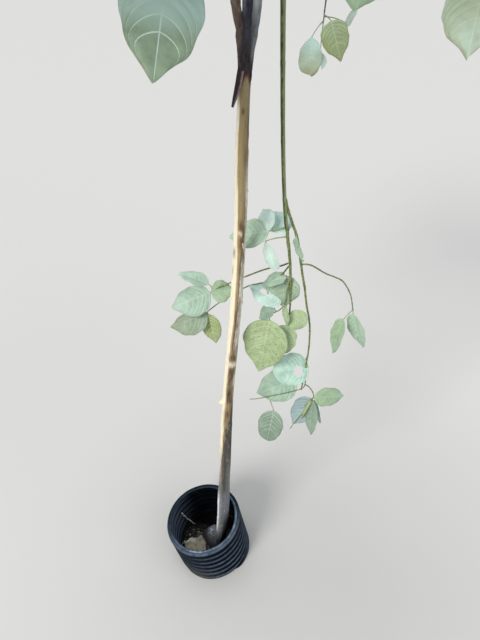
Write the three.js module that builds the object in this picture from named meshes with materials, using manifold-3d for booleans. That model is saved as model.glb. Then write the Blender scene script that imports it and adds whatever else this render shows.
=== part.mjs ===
// Young flowering tree, rooted in the ground, standing inside a short ribbed
// plastic collar. Millimetres, +Z up. The origin is the middle of the flat cut
// under the trunk, at ground level.
//
// The trunk and its limbs are tapering tubes along worked-out paths. Each mass
// of leaves is one closed uneven solid. Limbs are cut where they enter a mass
// and where they leave their parent, with a hair of clearance.

import * as THREE from "three";
import { mergeVertices } from "three/addons/utils/BufferGeometryUtils.js";
import Module from "manifold-3d";

const wasm = await Module();
wasm.setup();

const GAP = 0.35; // clearance between neighbouring solids
const V = (p) => new THREE.Vector3(p[0], p[1], p[2]);
const RAD = Math.PI / 180;

// ---------------------------------------------------------------- sizes

// trunk stations: height, x, y, diameter
const TRUNK = [
  [0, 0, 0, 50],
  [9, 0.5, 0.5, 44],
  [22, 4, 0.5, 35.5],
  [40, 10.5, 0, 29],
  [62, 15, 0, 26.8],
  [137, 21, 0, 26.2],
  [205, 24, 0, 26.6],
  [290, 27.7, 0, 23.4],
  [355, 30.7, 0, 23],
  [453, 34.3, 0, 22.3],
  [571, 40.7, 0, 19.2],
  [684, 49.7, 0, 18.8],
  [769, 55.6, 0, 18.2],
  [901, 62, 0, 17.6],
  [1000, 64, 0, 16.6],
  [1070, 66.8, 0, 15.2],
  [1104, 68.2, 0, 18],
  [1119, 68.8, 0, 22],
  [1128, 69, 0, 25],
];

// collar: a length of ribbed pipe round the foot, leaning, cut flat at ground
const COLLAR = {
  outer: 87.5, // outside radius over the ribs
  groove: 78.6, // outside radius between the ribs
  wall: 1.9,
  rim: 10.5, // the first rib's shoulder, under the mouth, ends here
  pitch: 20.6, // from rib to rib
  height: 141, // along its own axis
  below: 26, // made longer under the ground, then cut off
  leanX: -9.1, // degrees, towards -X
  leanY: -2.9, // degrees, towards -Y
  foot: [-3.4, 0, 0],
};

// limbs: from (a point, or a parent and a place along it), start direction
// (azimuth from +X, lean from +Z, in degrees), the point they reach, how they
// arrive (same two angles), and their first and last diameter
const FORK = 1128;
const LIMBS = [
  { name: "limb_left", at: [58.8, 0, FORK], az: 188, lean: 4, to: [-215, -35, 1570], az2: 190, lean2: 48, d: [9.8, 5.6] },
  { name: "limb_leader", at: [69, 0, FORK], az: 60, lean: 2, to: [97, 36, 1920], az2: 80, lean2: 2, d: [10.6, 5.6] },
  { name: "limb_right", at: [79.4, 0, FORK], az: -5, lean: 4, to: [350, -28, 1560], az2: -8, lean2: 50, d: [9.9, 5.6] },
  { name: "bough_front", from: ["limb_leader", 0.3], az: -88, lean: 42, to: [76, -290, 1505], az2: -92, lean2: 74, d: [6.4, 4] },
  { name: "bough_back", from: ["limb_leader", 0.3], az: 94, lean: 42, to: [66, 300, 1525], az2: 92, lean2: 74, d: [6.4, 4] },
  { name: "bough_left_front", from: ["limb_left", 0.42], az: 244, lean: 46, to: [-190, -285, 1405], az2: 232, lean2: 92, d: [5.6, 3.6] },
  { name: "bough_left_back", from: ["limb_left", 0.42], az: 120, lean: 46, to: [-205, 240, 1415], az2: 138, lean2: 90, d: [5.6, 3.6] },
  { name: "bough_right_front", from: ["limb_right", 0.42], az: -64, lean: 46, to: [325, -285, 1395], az2: -50, lean2: 92, d: [5.6, 3.6] },
  { name: "bough_right_back", from: ["limb_right", 0.42], az: 62, lean: 46, to: [335, 250, 1405], az2: 44, lean2: 90, d: [5.6, 3.6] },
  { name: "bough_upper_left", from: ["limb_leader", 0.56], az: 172, lean: 40, to: [-95, 65, 1790], az2: 168, lean2: 74, d: [5.2, 3.4] },
  { name: "bough_upper_right", from: ["limb_leader", 0.56], az: -8, lean: 40, to: [280, 5, 1770], az2: -12, lean2: 74, d: [5.2, 3.4] },
  { name: "bough_upper_front", from: ["limb_leader", 0.7], az: -96, lean: 38, to: [84, -205, 1800], az2: -94, lean2: 70, d: [4.8, 3.2] },
  { name: "bough_upper_back", from: ["limb_leader", 0.7], az: 84, lean: 38, to: [112, 255, 1815], az2: 86, lean2: 70, d: [4.8, 3.2] },
  { name: "bough_low_left", from: ["limb_left", 0.2], az: 215, lean: 50, to: [-12, -98, 1195], az2: 250, lean2: 158, d: [4.4, 3.2] },
  { name: "bough_low_right", from: ["limb_right", 0.3], az: -40, lean: 58, to: [238, -38, 1200], az2: -20, lean2: 150, d: [4.4, 3.2] },
  { name: "bough_low_back", from: ["bough_right_back", 0.4], az: 95, lean: 78, to: [207, 366, 1130], az2: 80, lean2: 168, d: [4.2, 3] },
  // the hanging shoot: it rises from the right limb, turns over, and hangs
  { name: "bough_arch", from: ["limb_right", 0.16], az: 40, lean: 20, to: [94, 28, 1300], az2: 40, lean2: 88, d: [7.4, 6.8] },
  { name: "bough_hanging", at: [94.5, 28.4, 1300], az: 40, lean: 92, to: [129, 31, 872], az2: 0, lean2: 172, d: [6.8, 5.4], bend: 0.04 },
  { name: "shoot_middle", at: [139, 31, 850], az: 0, lean: 172, to: [140, 20, 742], az2: 200, lean2: 170, d: [4.4, 3.4] },
  { name: "shoot_left", at: [134, 33, 846], az: 160, lean: 108, to: [6, 47, 758], az2: 188, lean2: 118, d: [3.4, 2.6] },
  { name: "shoot_right", at: [150, 28, 840], az: 20, lean: 120, to: [240, 20, 706], az2: -30, lean2: 140, d: [3.2, 2.4] },
  { name: "shoot_foot", at: [150, 26, 850], az: -10, lean: 160, to: [178, 14, 560], az2: 190, lean2: 170, d: [4.2, 3] },
];

// leaf masses: middle, half sizes, turn about Z, own seed, unevenness
const MASSES = [
  { name: "foliage_top", c: [97, 38, 1968], r: [150, 140, 148], turn: 20, seed: 3 },
  { name: "foliage_upper_left", c: [-112, 72, 1795], r: [148, 132, 84], turn: -12, seed: 7 },
  { name: "foliage_upper_right", c: [298, 0, 1772], r: [144, 132, 84], turn: 14, seed: 11 },
  { name: "foliage_upper_front", c: [84, -228, 1800], r: [134, 116, 78], turn: 5, seed: 13 },
  { name: "foliage_upper_back", c: [114, 282, 1812], r: [140, 118, 82], turn: -8, seed: 17 },
  { name: "foliage_left", c: [-262, -42, 1580], r: [176, 150, 94], turn: 8, seed: 19 },
  { name: "foliage_right", c: [398, -34, 1566], r: [170, 150, 94], turn: -6, seed: 23 },
  { name: "foliage_front", c: [76, -318, 1512], r: [172, 146, 86], turn: 0, seed: 29 },
  { name: "foliage_back", c: [64, 328, 1532], r: [178, 150, 92], turn: 6, seed: 31 },
  { name: "foliage_left_front", c: [-214, -312, 1402], r: [136, 124, 74], turn: 32, seed: 37 },
  { name: "foliage_left_back", c: [-228, 262, 1412], r: [142, 130, 78], turn: -35, seed: 41 },
  { name: "foliage_right_front", c: [352, -308, 1392], r: [134, 124, 74], turn: -30, seed: 43 },
  { name: "foliage_right_back", c: [360, 274, 1402], r: [142, 130, 78], turn: 30, seed: 47 },
  { name: "foliage_low_left", c: [-12, -100, 1166], r: [64, 56, 94], turn: 10, seed: 53 },
  { name: "foliage_low_right", c: [240, -40, 1184], r: [92, 66, 80], turn: -6, seed: 59 },
  { name: "foliage_low_back", c: [218, 366, 1108], r: [66, 56, 100], turn: 0, seed: 61 },
  { name: "foliage_hanging_node", c: [122, 28, 858], r: [54, 38, 52], turn: 0, seed: 67 },
  { name: "foliage_hanging_middle", c: [122, 12, 705], r: [54, 34, 92], turn: 0, seed: 71 },
  { name: "foliage_hanging_left", c: [-8, 42, 732], r: [50, 30, 78], turn: 0, seed: 73 },
  { name: "foliage_hanging_right", c: [247, 18, 686], r: [38, 28, 48], turn: 0, seed: 79 },
  { name: "foliage_hanging_foot", c: [174, 12, 513], r: [87, 38, 106], turn: 0, seed: 83 },
];

// ---------------------------------------------------------------- solids

function toManifold(points, tris) {
  const vertProperties = new Float32Array(points.length * 3);
  points.forEach((p, i) => vertProperties.set([p.x, p.y, p.z], i * 3));
  return new wasm.Manifold(new wasm.Mesh({ numProp: 3, vertProperties, triVerts: new Uint32Array(tris) }));
}

function toGeometry(manifold) {
  const mesh = manifold.getMesh();
  const n = mesh.numProp;
  const count = mesh.vertProperties.length / n;
  const xyz = new Float32Array(count * 3);
  for (let i = 0; i < count; i++) for (let k = 0; k < 3; k++) xyz[i * 3 + k] = mesh.vertProperties[i * n + k];
  const geometry = new THREE.BufferGeometry();
  geometry.setAttribute("position", new THREE.BufferAttribute(xyz, 3));
  geometry.setIndex(new THREE.BufferAttribute(new Uint32Array(mesh.triVerts), 1));
  return geometry;
}

// a box from low corner to high corner, for cuts
function block(lo, hi) {
  const g = new THREE.BoxGeometry(hi[0] - lo[0], hi[1] - lo[1], hi[2] - lo[2]);
  g.translate((hi[0] + lo[0]) / 2, (hi[1] + lo[1]) / 2, (hi[2] + lo[2]) / 2);
  g.deleteAttribute("normal");
  g.deleteAttribute("uv");
  const m = mergeVertices(g, 1e-4);
  const pos = m.getAttribute("position");
  const pts = [];
  for (let i = 0; i < pos.count; i++) pts.push(new THREE.Vector3().fromBufferAttribute(pos, i));
  return toManifold(pts, Array.from(m.getIndex().array));
}

// a solid through rings of equal point count, closed by a fan at each end
function loft(rings) {
  const n = rings[0].length;
  const pts = rings.flat();
  const tris = [];
  for (let i = 0; i + 1 < rings.length; i++)
    for (let j = 0; j < n; j++) {
      const a = i * n + j;
      const b = i * n + ((j + 1) % n);
      tris.push(a, b, b + n, a, b + n, a + n);
    }
  const mid = (ring) => ring.reduce((s, p) => s.add(p), new THREE.Vector3()).multiplyScalar(1 / n);
  const first = pts.push(mid(rings[0])) - 1;
  const last = pts.push(mid(rings[rings.length - 1])) - 1;
  const top = (rings.length - 1) * n;
  for (let j = 0; j < n; j++) {
    const k = (j + 1) % n;
    tris.push(first, k, j, last, top + j, top + k);
  }
  return toManifold(pts, tris);
}

// rings square to a path, carried along without twist
function tube(path, radius, sides, grow = 0) {
  const rings = [];
  let side = null;
  path.forEach((p, i) => {
    const dir = new THREE.Vector3().subVectors(path[Math.min(i + 1, path.length - 1)], path[Math.max(i - 1, 0)]).normalize();
    if (!side) side = new THREE.Vector3(1, 0, 0).cross(dir).lengthSq() > 0.05 ? new THREE.Vector3(1, 0, 0) : new THREE.Vector3(0, 1, 0);
    side = side.clone().addScaledVector(dir, -side.dot(dir)).normalize();
    const up = new THREE.Vector3().crossVectors(dir, side);
    const r = radius(i / (path.length - 1)) + grow;
    const mid = p.clone();
    if (grow && i === 0) mid.addScaledVector(dir, -grow);
    if (grow && i === path.length - 1) mid.addScaledVector(dir, grow);
    const ring = [];
    for (let j = 0; j < sides; j++) {
      const a = (j / sides) * 2 * Math.PI;
      ring.push(mid.clone().addScaledVector(side, Math.cos(a) * r).addScaledVector(up, Math.sin(a) * r));
    }
    rings.push(ring);
  });
  return loft(rings);
}

// ---------------------------------------------------------------- trunk

// smooth value between the stations, without overshoot
function station(z, k) {
  let i = 0;
  while (i < TRUNK.length - 2 && TRUNK[i + 1][0] < z) i++;
  const [a, b] = [TRUNK[i], TRUNK[i + 1]];
  const t = Math.min(1, Math.max(0, (z - a[0]) / (b[0] - a[0])));
  const slope = (m) => {
    if (m <= 0 || m >= TRUNK.length - 1) return 0;
    const l = (TRUNK[m][k] - TRUNK[m - 1][k]) / (TRUNK[m][0] - TRUNK[m - 1][0]);
    const r = (TRUNK[m + 1][k] - TRUNK[m][k]) / (TRUNK[m + 1][0] - TRUNK[m][0]);
    return l * r > 0 ? (2 * l * r) / (l + r) : 0;
  };
  const h = b[0] - a[0];
  const [t2, t3] = [t * t, t * t * t];
  return (2 * t3 - 3 * t2 + 1) * a[k] + (t3 - 2 * t2 + t) * h * slope(i) + (3 * t2 - 2 * t3) * b[k] + (t3 - t2) * h * slope(i + 1);
}

// the foot swells into a few low root shoulders, the largest to the left
const SHOULDERS = [
  [188, 0.24, 26],
  [262, 0.14, 24],
  [20, 0.1, 22],
  [110, 0.12, 26],
];
function flare(z, angle) {
  const fade = Math.exp(-z / 17);
  let f = 1;
  for (const [at, size, wide] of SHOULDERS) {
    let d = Math.abs(((angle / RAD - at + 540) % 360) - 180);
    f += size * Math.exp(-((d / wide) ** 2)) * fade;
  }
  return f;
}
// a rounded knob, the stump of an older root or stem, bulges behind the foot
// on the left: how far it stands out, by height, and its middle and width
const KNOB = [
  [0, 13], [15, 19], [30, 21], [42, 18.5], [52, 12], [60, 5.5], [70, 1], [80, 0],
];
function knob(z, angle) {
  let i = 0;
  while (i < KNOB.length - 2 && KNOB[i + 1][0] < z) i++;
  const t = Math.min(1, Math.max(0, (z - KNOB[i][0]) / (KNOB[i + 1][0] - KNOB[i][0])));
  const d = ((angle / RAD - 134 + 540) % 360) - 180;
  return (KNOB[i][1] + (KNOB[i + 1][1] - KNOB[i][1]) * t) * Math.exp(-((d / 44) ** 2));
}
// the top widens sideways, where three limbs part
function widen(z) {
  const t = Math.max(0, Math.min(1, (z - 1078) / (FORK - 1078)));
  return [1 + 0.17 * t * t, 1 - 0.44 * t * t];
}

const TRUNK_LEVELS = [0, 4, 9, 15, 22, 30, 40, 52, 66];
for (let z = 100; z < 1080; z += 45) TRUNK_LEVELS.push(z);
TRUNK_LEVELS.push(1082, 1096, 1106, 1116, 1123, FORK);

function trunkSolid(grow) {
  const sides = 12;
  const levels = TRUNK_LEVELS.slice();
  if (grow) {
    levels.unshift(-20);
    levels[levels.length - 1] += grow;
  }
  const rings = levels.map((z) => {
    const h = Math.min(FORK, Math.max(0, z));
    const ring = [];
    const [wx, wy] = widen(h);
    for (let j = 0; j < sides; j++) {
      const a = (j / sides) * 2 * Math.PI;
      const r = (station(h, 3) / 2) * flare(h, a) + knob(h, a) + grow;
      ring.push(new THREE.Vector3(station(h, 1) + Math.cos(a) * r * wx, station(h, 2) + Math.sin(a) * r * wy, z));
    }
    return ring;
  });
  return loft(rings);
}

// ---------------------------------------------------------------- limbs

function direction(az, lean) {
  return new THREE.Vector3(Math.sin(lean * RAD) * Math.cos(az * RAD), Math.sin(lean * RAD) * Math.sin(az * RAD), Math.cos(lean * RAD));
}

const PATHS = {};
for (const limb of LIMBS) {
  const start = limb.at ? V(limb.at) : PATHS[limb.from[0]].curve.getPoint(limb.from[1]);
  const end = V(limb.to);
  const reach = start.distanceTo(end);
  const b = start.clone().addScaledVector(direction(limb.az, limb.lean), reach * (limb.bend ?? 0.4));
  const c = end.clone().addScaledVector(direction(limb.az2, limb.lean2), -reach * 0.34);
  const curve = new THREE.CubicBezierCurve3(start, b, c, end);
  PATHS[limb.name] = { curve, limb };
}

const SEGMENTS = 8;
const SIDES = 7;
function limbSolid(name, grow) {
  const { curve, limb } = PATHS[name];
  const path = [];
  for (let i = 0; i <= SEGMENTS; i++) {
    const t = i / SEGMENTS;
    // closer rings at the start, where the bend is
    path.push(curve.getPoint(limb.bend ? t * t * 0.6 + t * 0.4 : t));
  }
  const radius = (t) => (limb.d[0] + (limb.d[1] - limb.d[0]) * t) / 2;
  return tube(path, radius, limb.d[0] > 5 ? SIDES : 6, grow);
}

// ---------------------------------------------------------------- masses

function massSolid(mass, grow) {
  const detail = 2;
  const g = new THREE.IcosahedronGeometry(1, detail);
  g.deleteAttribute("normal");
  g.deleteAttribute("uv");
  const m = mergeVertices(g, 1e-4);
  const pos = m.getAttribute("position");
  const pts = [];
  const s = mass.seed;
  const turn = mass.turn * RAD;
  for (let i = 0; i < pos.count; i++) {
    const d = new THREE.Vector3().fromBufferAttribute(pos, i).normalize();
    // lobes of three sizes, each mass with its own
    const f =
      0.92 +
      0.075 * Math.sin(2.1 * d.x + 0.9 * s) * Math.sin(2.6 * d.y + 1.7 * s) +
      0.06 * Math.sin(5.2 * d.x + 1.3 * s + 2.2 * d.z) +
      0.055 * Math.sin(5.6 * d.y + 2.1 * s - 2.4 * d.x) +
      0.04 * Math.sin(8.7 * d.z + 0.7 * s + 6.1 * d.x * d.y) -
      0.05 * Math.max(0, -d.z);
    const x = d.x * mass.r[0] * f;
    const y = d.y * mass.r[1] * f;
    const z = d.z * mass.r[2] * f;
    const p = new THREE.Vector3(x * Math.cos(turn) - y * Math.sin(turn), x * Math.sin(turn) + y * Math.cos(turn), z);
    if (grow) p.addScaledVector(p.clone().normalize(), grow * 1.7);
    pts.push(p.add(V(mass.c)));
  }
  return toManifold(pts, Array.from(m.getIndex().array));
}

// ---------------------------------------------------------------- collar

function tilt() {
  const x = Math.tan(COLLAR.leanX * RAD);
  const y = Math.tan(COLLAR.leanY * RAD);
  const up = new THREE.Vector3(x, y, 1).normalize();
  const turn = new THREE.Quaternion().setFromUnitVectors(new THREE.Vector3(0, 0, 1), up);
  return new THREE.Matrix4().compose(V(COLLAR.foot), turn, new THREE.Vector3(1, 1, 1));
}

function ring(profile, segments, matrix) {
  const pts = [];
  const tris = [];
  const n = profile.length;
  for (let j = 0; j < segments; j++) {
    const a = (j / segments) * 2 * Math.PI;
    for (const [r, z] of profile) pts.push(new THREE.Vector3(Math.cos(a) * r, Math.sin(a) * r, z).applyMatrix4(matrix));
  }
  for (let j = 0; j < segments; j++)
    for (let i = 0; i < n; i++) {
      const a = j * n + i;
      const b = j * n + ((i + 1) % n);
      const c = ((j + 1) % segments) * n + ((i + 1) % n);
      const d = ((j + 1) % segments) * n + i;
      tris.push(a, d, c, a, c, b);
    }
  return toManifold(pts, tris);
}

const underground = block([-600, -600, -400], [600, 600, 0]);
const SEG = 28;

function collarSolid() {
  const { height, rim, pitch, outer, groove, wall, below } = COLLAR;
  // cut through a groove, so that the mouth is narrow and the first rib's
  // shoulder surrounds it; from there down a groove and a rib to each pitch
  const line = [[groove + 0.8, height], [outer, height - 4.6], [outer, height - rim]];
  for (let top = height - rim; top > -below; top -= pitch)
    line.push([groove, top - 0.38 * pitch], [outer, top - 0.88 * pitch]);
  const inside = line.map(([r, s]) => [r - wall, s]);
  return ring([...line.reverse(), ...inside], SEG, tilt()).subtract(underground);
}

// the soil held inside the collar: a low uneven disc round the foot
function soilSolid() {
  const r = COLLAR.groove - COLLAR.wall - 0.8;
  const matrix = tilt();
  const circles = [1, 0.9, 0.6];
  const seg = 24;
  const pts = [];
  const height = (x, y) => 10 + 3.2 * Math.sin(x / 19 + 1.2) + 2.4 * Math.sin(y / 14 - 0.4) + 1.8 * Math.sin((x + y) / 9) - x * 0.03;
  const tris = [];
  for (const level of [0, 1])
    for (const c of circles)
      for (let j = 0; j < seg; j++) {
        const a = (j / seg) * 2 * Math.PI;
        const p = new THREE.Vector3(Math.cos(a) * r * c, Math.sin(a) * r * c, level ? 0 : -40).applyMatrix4(matrix);
        if (level) {
          // slide up the leaning axis to the soil's own height
          const up = new THREE.Vector3(0, 0, 1).transformDirection(matrix);
          const want = height(p.x, p.y) - (c > 0.95 ? 2 : 0);
          p.addScaledVector(up, (want - p.z) / up.z);
        }
        pts.push(p);
      }
  const per = circles.length * seg;
  const mid = (level) => {
    const p = new THREE.Vector3(0, 0, level ? 0 : -40).applyMatrix4(matrix);
    if (level) p.z = height(p.x, p.y);
    return p;
  };
  const under = pts.push(mid(0)) - 1;
  const over = pts.push(mid(1)) - 1;
  for (let j = 0; j < seg; j++) {
    const k = (j + 1) % seg;
    tris.push(j, k, per + k, j, per + k, per + j);
    for (let i = 0; i + 1 < circles.length; i++) {
      const [a, b, c, d] = [i * seg + j, i * seg + k, (i + 1) * seg + k, (i + 1) * seg + j];
      tris.push(a, c, b, a, d, c);
      tris.push(per + a, per + b, per + c, per + a, per + c, per + d);
    }
    const i = (circles.length - 1) * seg;
    tris.push(i + j, under, i + k, per + i + j, per + i + k, over);
  }
  return toManifold(pts, tris).subtract(underground).subtract(trunkSolid(GAP));
}

// ---------------------------------------------------------------- assembly

const group = new THREE.Group();
group.name = "sapling";

const COLOURS = {
  trunk: 0xa68a62,
  limb: 0x6b6a5c,
  shoot: 0x76884f,
  leaf: 0x9fb98f,
  collar: 0x171c26,
  soil: 0x3b3129,
};

function add(name, manifold, colour, roughness = 0.8) {
  const mesh = new THREE.Mesh(toGeometry(manifold), new THREE.MeshStandardMaterial({ color: colour, roughness }));
  mesh.name = name;
  mesh.material.name = name;
  group.add(mesh);
}

add("trunk", trunkSolid(0), COLOURS.trunk);

const grownMasses = MASSES.map((m) => massSolid(m, GAP));
const grownLimbs = {};
for (const { name } of LIMBS) grownLimbs[name] = limbSolid(name, GAP);

const grownTrunk = trunkSolid(GAP);
for (const limb of LIMBS) {
  let solid = limbSolid(limb.name, 0).subtract(grownTrunk);
  if (limb.from) solid = solid.subtract(grownLimbs[limb.from[0]]);
  if (limb.name === "bough_hanging") solid = solid.subtract(grownLimbs.bough_arch);
  if (limb.name === "limb_left" || limb.name === "limb_right") solid = solid.subtract(grownLimbs.limb_leader);
  for (const m of grownMasses) solid = solid.subtract(m);
  add(limb.name, solid, limb.name.startsWith("shoot") || limb.name.includes("hanging") || limb.name.includes("arch") ? COLOURS.shoot : COLOURS.limb);
}

MASSES.forEach((mass, i) => {
  let solid = massSolid(mass, 0);
  for (let j = 0; j < i; j++) solid = solid.subtract(grownMasses[j]);
  add(mass.name, solid, COLOURS.leaf, 0.9);
});

add("collar", collarSolid(), COLOURS.collar, 0.5);
add("soil", soilSolid(), COLOURS.soil, 1);

export default group;
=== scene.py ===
"""Young dogwood sapling, rooted in the ground, in a short ribbed collar.

Everything is worked out in millimetres in the CAD frame and turned into metres
when a mesh is made. The trunk and the limbs follow the same paths as the CAD.
"""
import math
import random

import bpy
import numpy as np
from mathutils import Matrix, Vector


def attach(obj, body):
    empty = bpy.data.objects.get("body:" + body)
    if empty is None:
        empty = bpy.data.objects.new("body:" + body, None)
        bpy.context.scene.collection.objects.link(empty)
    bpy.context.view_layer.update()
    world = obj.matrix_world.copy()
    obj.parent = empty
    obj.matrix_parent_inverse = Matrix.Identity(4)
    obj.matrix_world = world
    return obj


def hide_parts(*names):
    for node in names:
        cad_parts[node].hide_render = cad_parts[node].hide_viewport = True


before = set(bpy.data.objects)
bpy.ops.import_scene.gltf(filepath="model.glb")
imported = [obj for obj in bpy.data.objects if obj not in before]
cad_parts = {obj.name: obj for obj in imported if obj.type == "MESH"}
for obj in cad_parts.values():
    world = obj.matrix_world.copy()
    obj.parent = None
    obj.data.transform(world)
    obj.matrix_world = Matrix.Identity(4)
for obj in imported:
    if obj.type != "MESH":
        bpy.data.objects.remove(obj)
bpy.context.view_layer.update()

RNG = random.Random(20261)
RAD = math.pi / 180


# ------------------------------------------------------------------ numbers

def lin(r, g, b):
    """A colour written as 0..255 display values, as linear numbers."""
    def one(c):
        c /= 255.0
        return c / 12.92 if c <= 0.04045 else ((c + 0.055) / 1.055) ** 2.4
    return (one(r), one(g), one(b))


def unit(v):
    v = np.asarray(v, float)
    return v / max(1e-9, float(np.linalg.norm(v)))


def smooth(a, b, x):
    t = np.clip((np.asarray(x, float) - a) / (b - a), 0, 1)
    return t * t * (3 - 2 * t)


def _hash(ix, iy, iz, seed):
    h = (ix * 374761393 + iy * 668265263 + iz * 1274126177 + seed * 974634777) & 0xFFFFFFFF
    h = ((h ^ (h >> 13)) * 1103515245) & 0xFFFFFFFF
    h = ((h ^ (h >> 16)) * 2246822519) & 0xFFFFFFFF
    h = h ^ (h >> 15)
    return (h & 0xFFFFFF) / float(0xFFFFFF) * 2 - 1


def vnoise(x, y, z, seed=0):
    x, y, z = np.broadcast_arrays(np.asarray(x, float), np.asarray(y, float), np.asarray(z, float))
    fx, fy, fz = np.floor(x), np.floor(y), np.floor(z)
    ix, iy, iz = fx.astype(np.int64), fy.astype(np.int64), fz.astype(np.int64)
    u, v, w = x - fx, y - fy, z - fz
    u, v, w = (t * t * t * (t * (t * 6 - 15) + 10) for t in (u, v, w))
    def at(a, b, c):
        return _hash(ix + a, iy + b, iz + c, seed)
    x00 = at(0, 0, 0) * (1 - u) + at(1, 0, 0) * u
    x10 = at(0, 1, 0) * (1 - u) + at(1, 1, 0) * u
    x01 = at(0, 0, 1) * (1 - u) + at(1, 0, 1) * u
    x11 = at(0, 1, 1) * (1 - u) + at(1, 1, 1) * u
    return (x00 * (1 - v) + x10 * v) * (1 - w) + (x01 * (1 - v) + x11 * v) * w


def fbm(x, y, z, octaves=4, seed=0, gain=0.5):
    total, amp, f = 0.0, 1.0, 1.0
    norm = 0.0
    for k in range(octaves):
        total = total + amp * vnoise(x * f, y * f, z * f, seed + 31 * k)
        norm += amp
        amp *= gain
        f *= 2.03
    return total / norm


# ------------------------------------------------------------------ meshes

class Geo:
    """Verts and faces gathered from many small pieces of one kind."""

    def __init__(self):
        self.v, self.q, self.t, self.mq, self.mt = [], [], [], [], []
        self.tint = []
        self.n = 0

    def add(self, verts, quads=None, tris=None, mq=0, mt=0, tint=None):
        verts = np.asarray(verts, float)
        if quads is not None and len(quads):
            quads = np.asarray(quads, np.int64)
            self.q.append(quads + self.n)
            self.mq.append(np.full(len(quads), mq) if np.isscalar(mq) else np.asarray(mq))
        if tris is not None and len(tris):
            tris = np.asarray(tris, np.int64)
            self.t.append(tris + self.n)
            self.mt.append(np.full(len(tris), mt) if np.isscalar(mt) else np.asarray(mt))
        self.v.append(verts)
        if tint is not None:
            tint = np.asarray(tint, float)
            self.tint.append(np.broadcast_to(tint, (len(verts), 3)) if tint.ndim == 1 else tint)
        self.n += len(verts)

    def count(self):
        return 2 * sum(len(q) for q in self.q) + sum(len(t) for t in self.t)

    def make(self, name, mats, attrs=None, smooth_shade=True):
        V = np.concatenate(self.v) * 0.001
        Q = np.concatenate(self.q) if self.q else np.zeros((0, 4), np.int64)
        T = np.concatenate(self.t) if self.t else np.zeros((0, 3), np.int64)
        M = np.concatenate([*self.mq, *self.mt]) if (self.mq or self.mt) else np.zeros(0)
        me = bpy.data.meshes.new(name)
        me.vertices.add(len(V))
        me.vertices.foreach_set("co", V.ravel())
        me.loops.add(4 * len(Q) + 3 * len(T))
        me.loops.foreach_set("vertex_index", np.concatenate([Q.ravel(), T.ravel()]).astype(np.int32))
        me.polygons.add(len(Q) + len(T))
        starts = np.concatenate([np.arange(len(Q)) * 4, 4 * len(Q) + np.arange(len(T)) * 3])
        me.polygons.foreach_set("loop_start", starts.astype(np.int32))
        me.polygons.foreach_set("material_index", M.astype(np.int32))
        me.update(calc_edges=True)
        me.polygons.foreach_set("use_smooth", np.full(len(me.polygons), smooth_shade))
        if self.tint:
            col = np.ones((len(V), 4))
            col[:, :3] = np.concatenate(self.tint)
            a = me.attributes.new("tint", "FLOAT_COLOR", "POINT")
            a.data.foreach_set("color", col.ravel())
        for key, values in (attrs or {}).items():
            a = me.attributes.new(key, "FLOAT", "POINT")
            a.data.foreach_set("value", np.asarray(values, float))
        for m in mats:
            me.materials.append(m)
        me.update()
        ob = bpy.data.objects.new(name, me)
        bpy.context.scene.collection.objects.link(ob)
        return ob


def grid_quads(rows, cols, wrap=True):
    """Quads of a grid stored row by row; wrap joins the last column to the first."""
    i = np.arange(rows - 1)[:, None]
    j = np.arange(cols if wrap else cols - 1)[None, :]
    k = (j + 1) % cols
    return np.stack([i * cols + j, i * cols + k, (i + 1) * cols + k, (i + 1) * cols + j], -1).reshape(-1, 4)


def frames(P):
    """Tangent, side and up along a path, carried without twist."""
    T = np.gradient(P, axis=0)
    T /= np.maximum(1e-9, np.linalg.norm(T, axis=1))[:, None]
    S = np.zeros_like(P)
    s = np.array([1.0, 0, 0]) if abs(T[0][0]) < 0.9 else np.array([0, 1.0, 0])
    for i in range(len(P)):
        s = s - (s @ T[i]) * T[i]
        s = s / max(1e-9, np.linalg.norm(s))
        S[i] = s
    return T, S, np.cross(T, S)


def tube(geo, P, R, sides=10, mat=0, tint=None, relief=None, caps=True):
    P = np.asarray(P, float)
    T, S, U = frames(P)
    a = np.arange(sides) / sides * 2 * math.pi
    out = S[:, None, :] * np.cos(a)[None, :, None] + U[:, None, :] * np.sin(a)[None, :, None]
    R = np.broadcast_to(np.asarray(R, float), (len(P),))
    r = R[:, None] * np.ones(sides)[None, :]
    if relief is not None:
        r = r + relief(P[:, None, :] + out * r[..., None], r)
    V = (P[:, None, :] + out * r[..., None]).reshape(-1, 3)
    N = out.reshape(-1, 3)
    q = grid_quads(len(P), sides)
    tris = None
    if caps:
        V = np.concatenate([V, P[:1] - T[:1] * R[0] * 0.4, P[-1:] + T[-1:] * R[-1] * 0.6])
        N = np.concatenate([N, -T[:1], T[-1:]])
        j = np.arange(sides)
        k = (j + 1) % sides
        last = (len(P) - 1) * sides
        tris = np.concatenate([
            np.stack([np.full(sides, len(V) - 2), k, j], -1),
            np.stack([np.full(sides, len(V) - 1), last + j, last + k], -1)])
    if tint is not None and callable(tint):
        tint = tint(V, N)
    geo.add(V, q, tris, mat, mat, tint)


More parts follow.
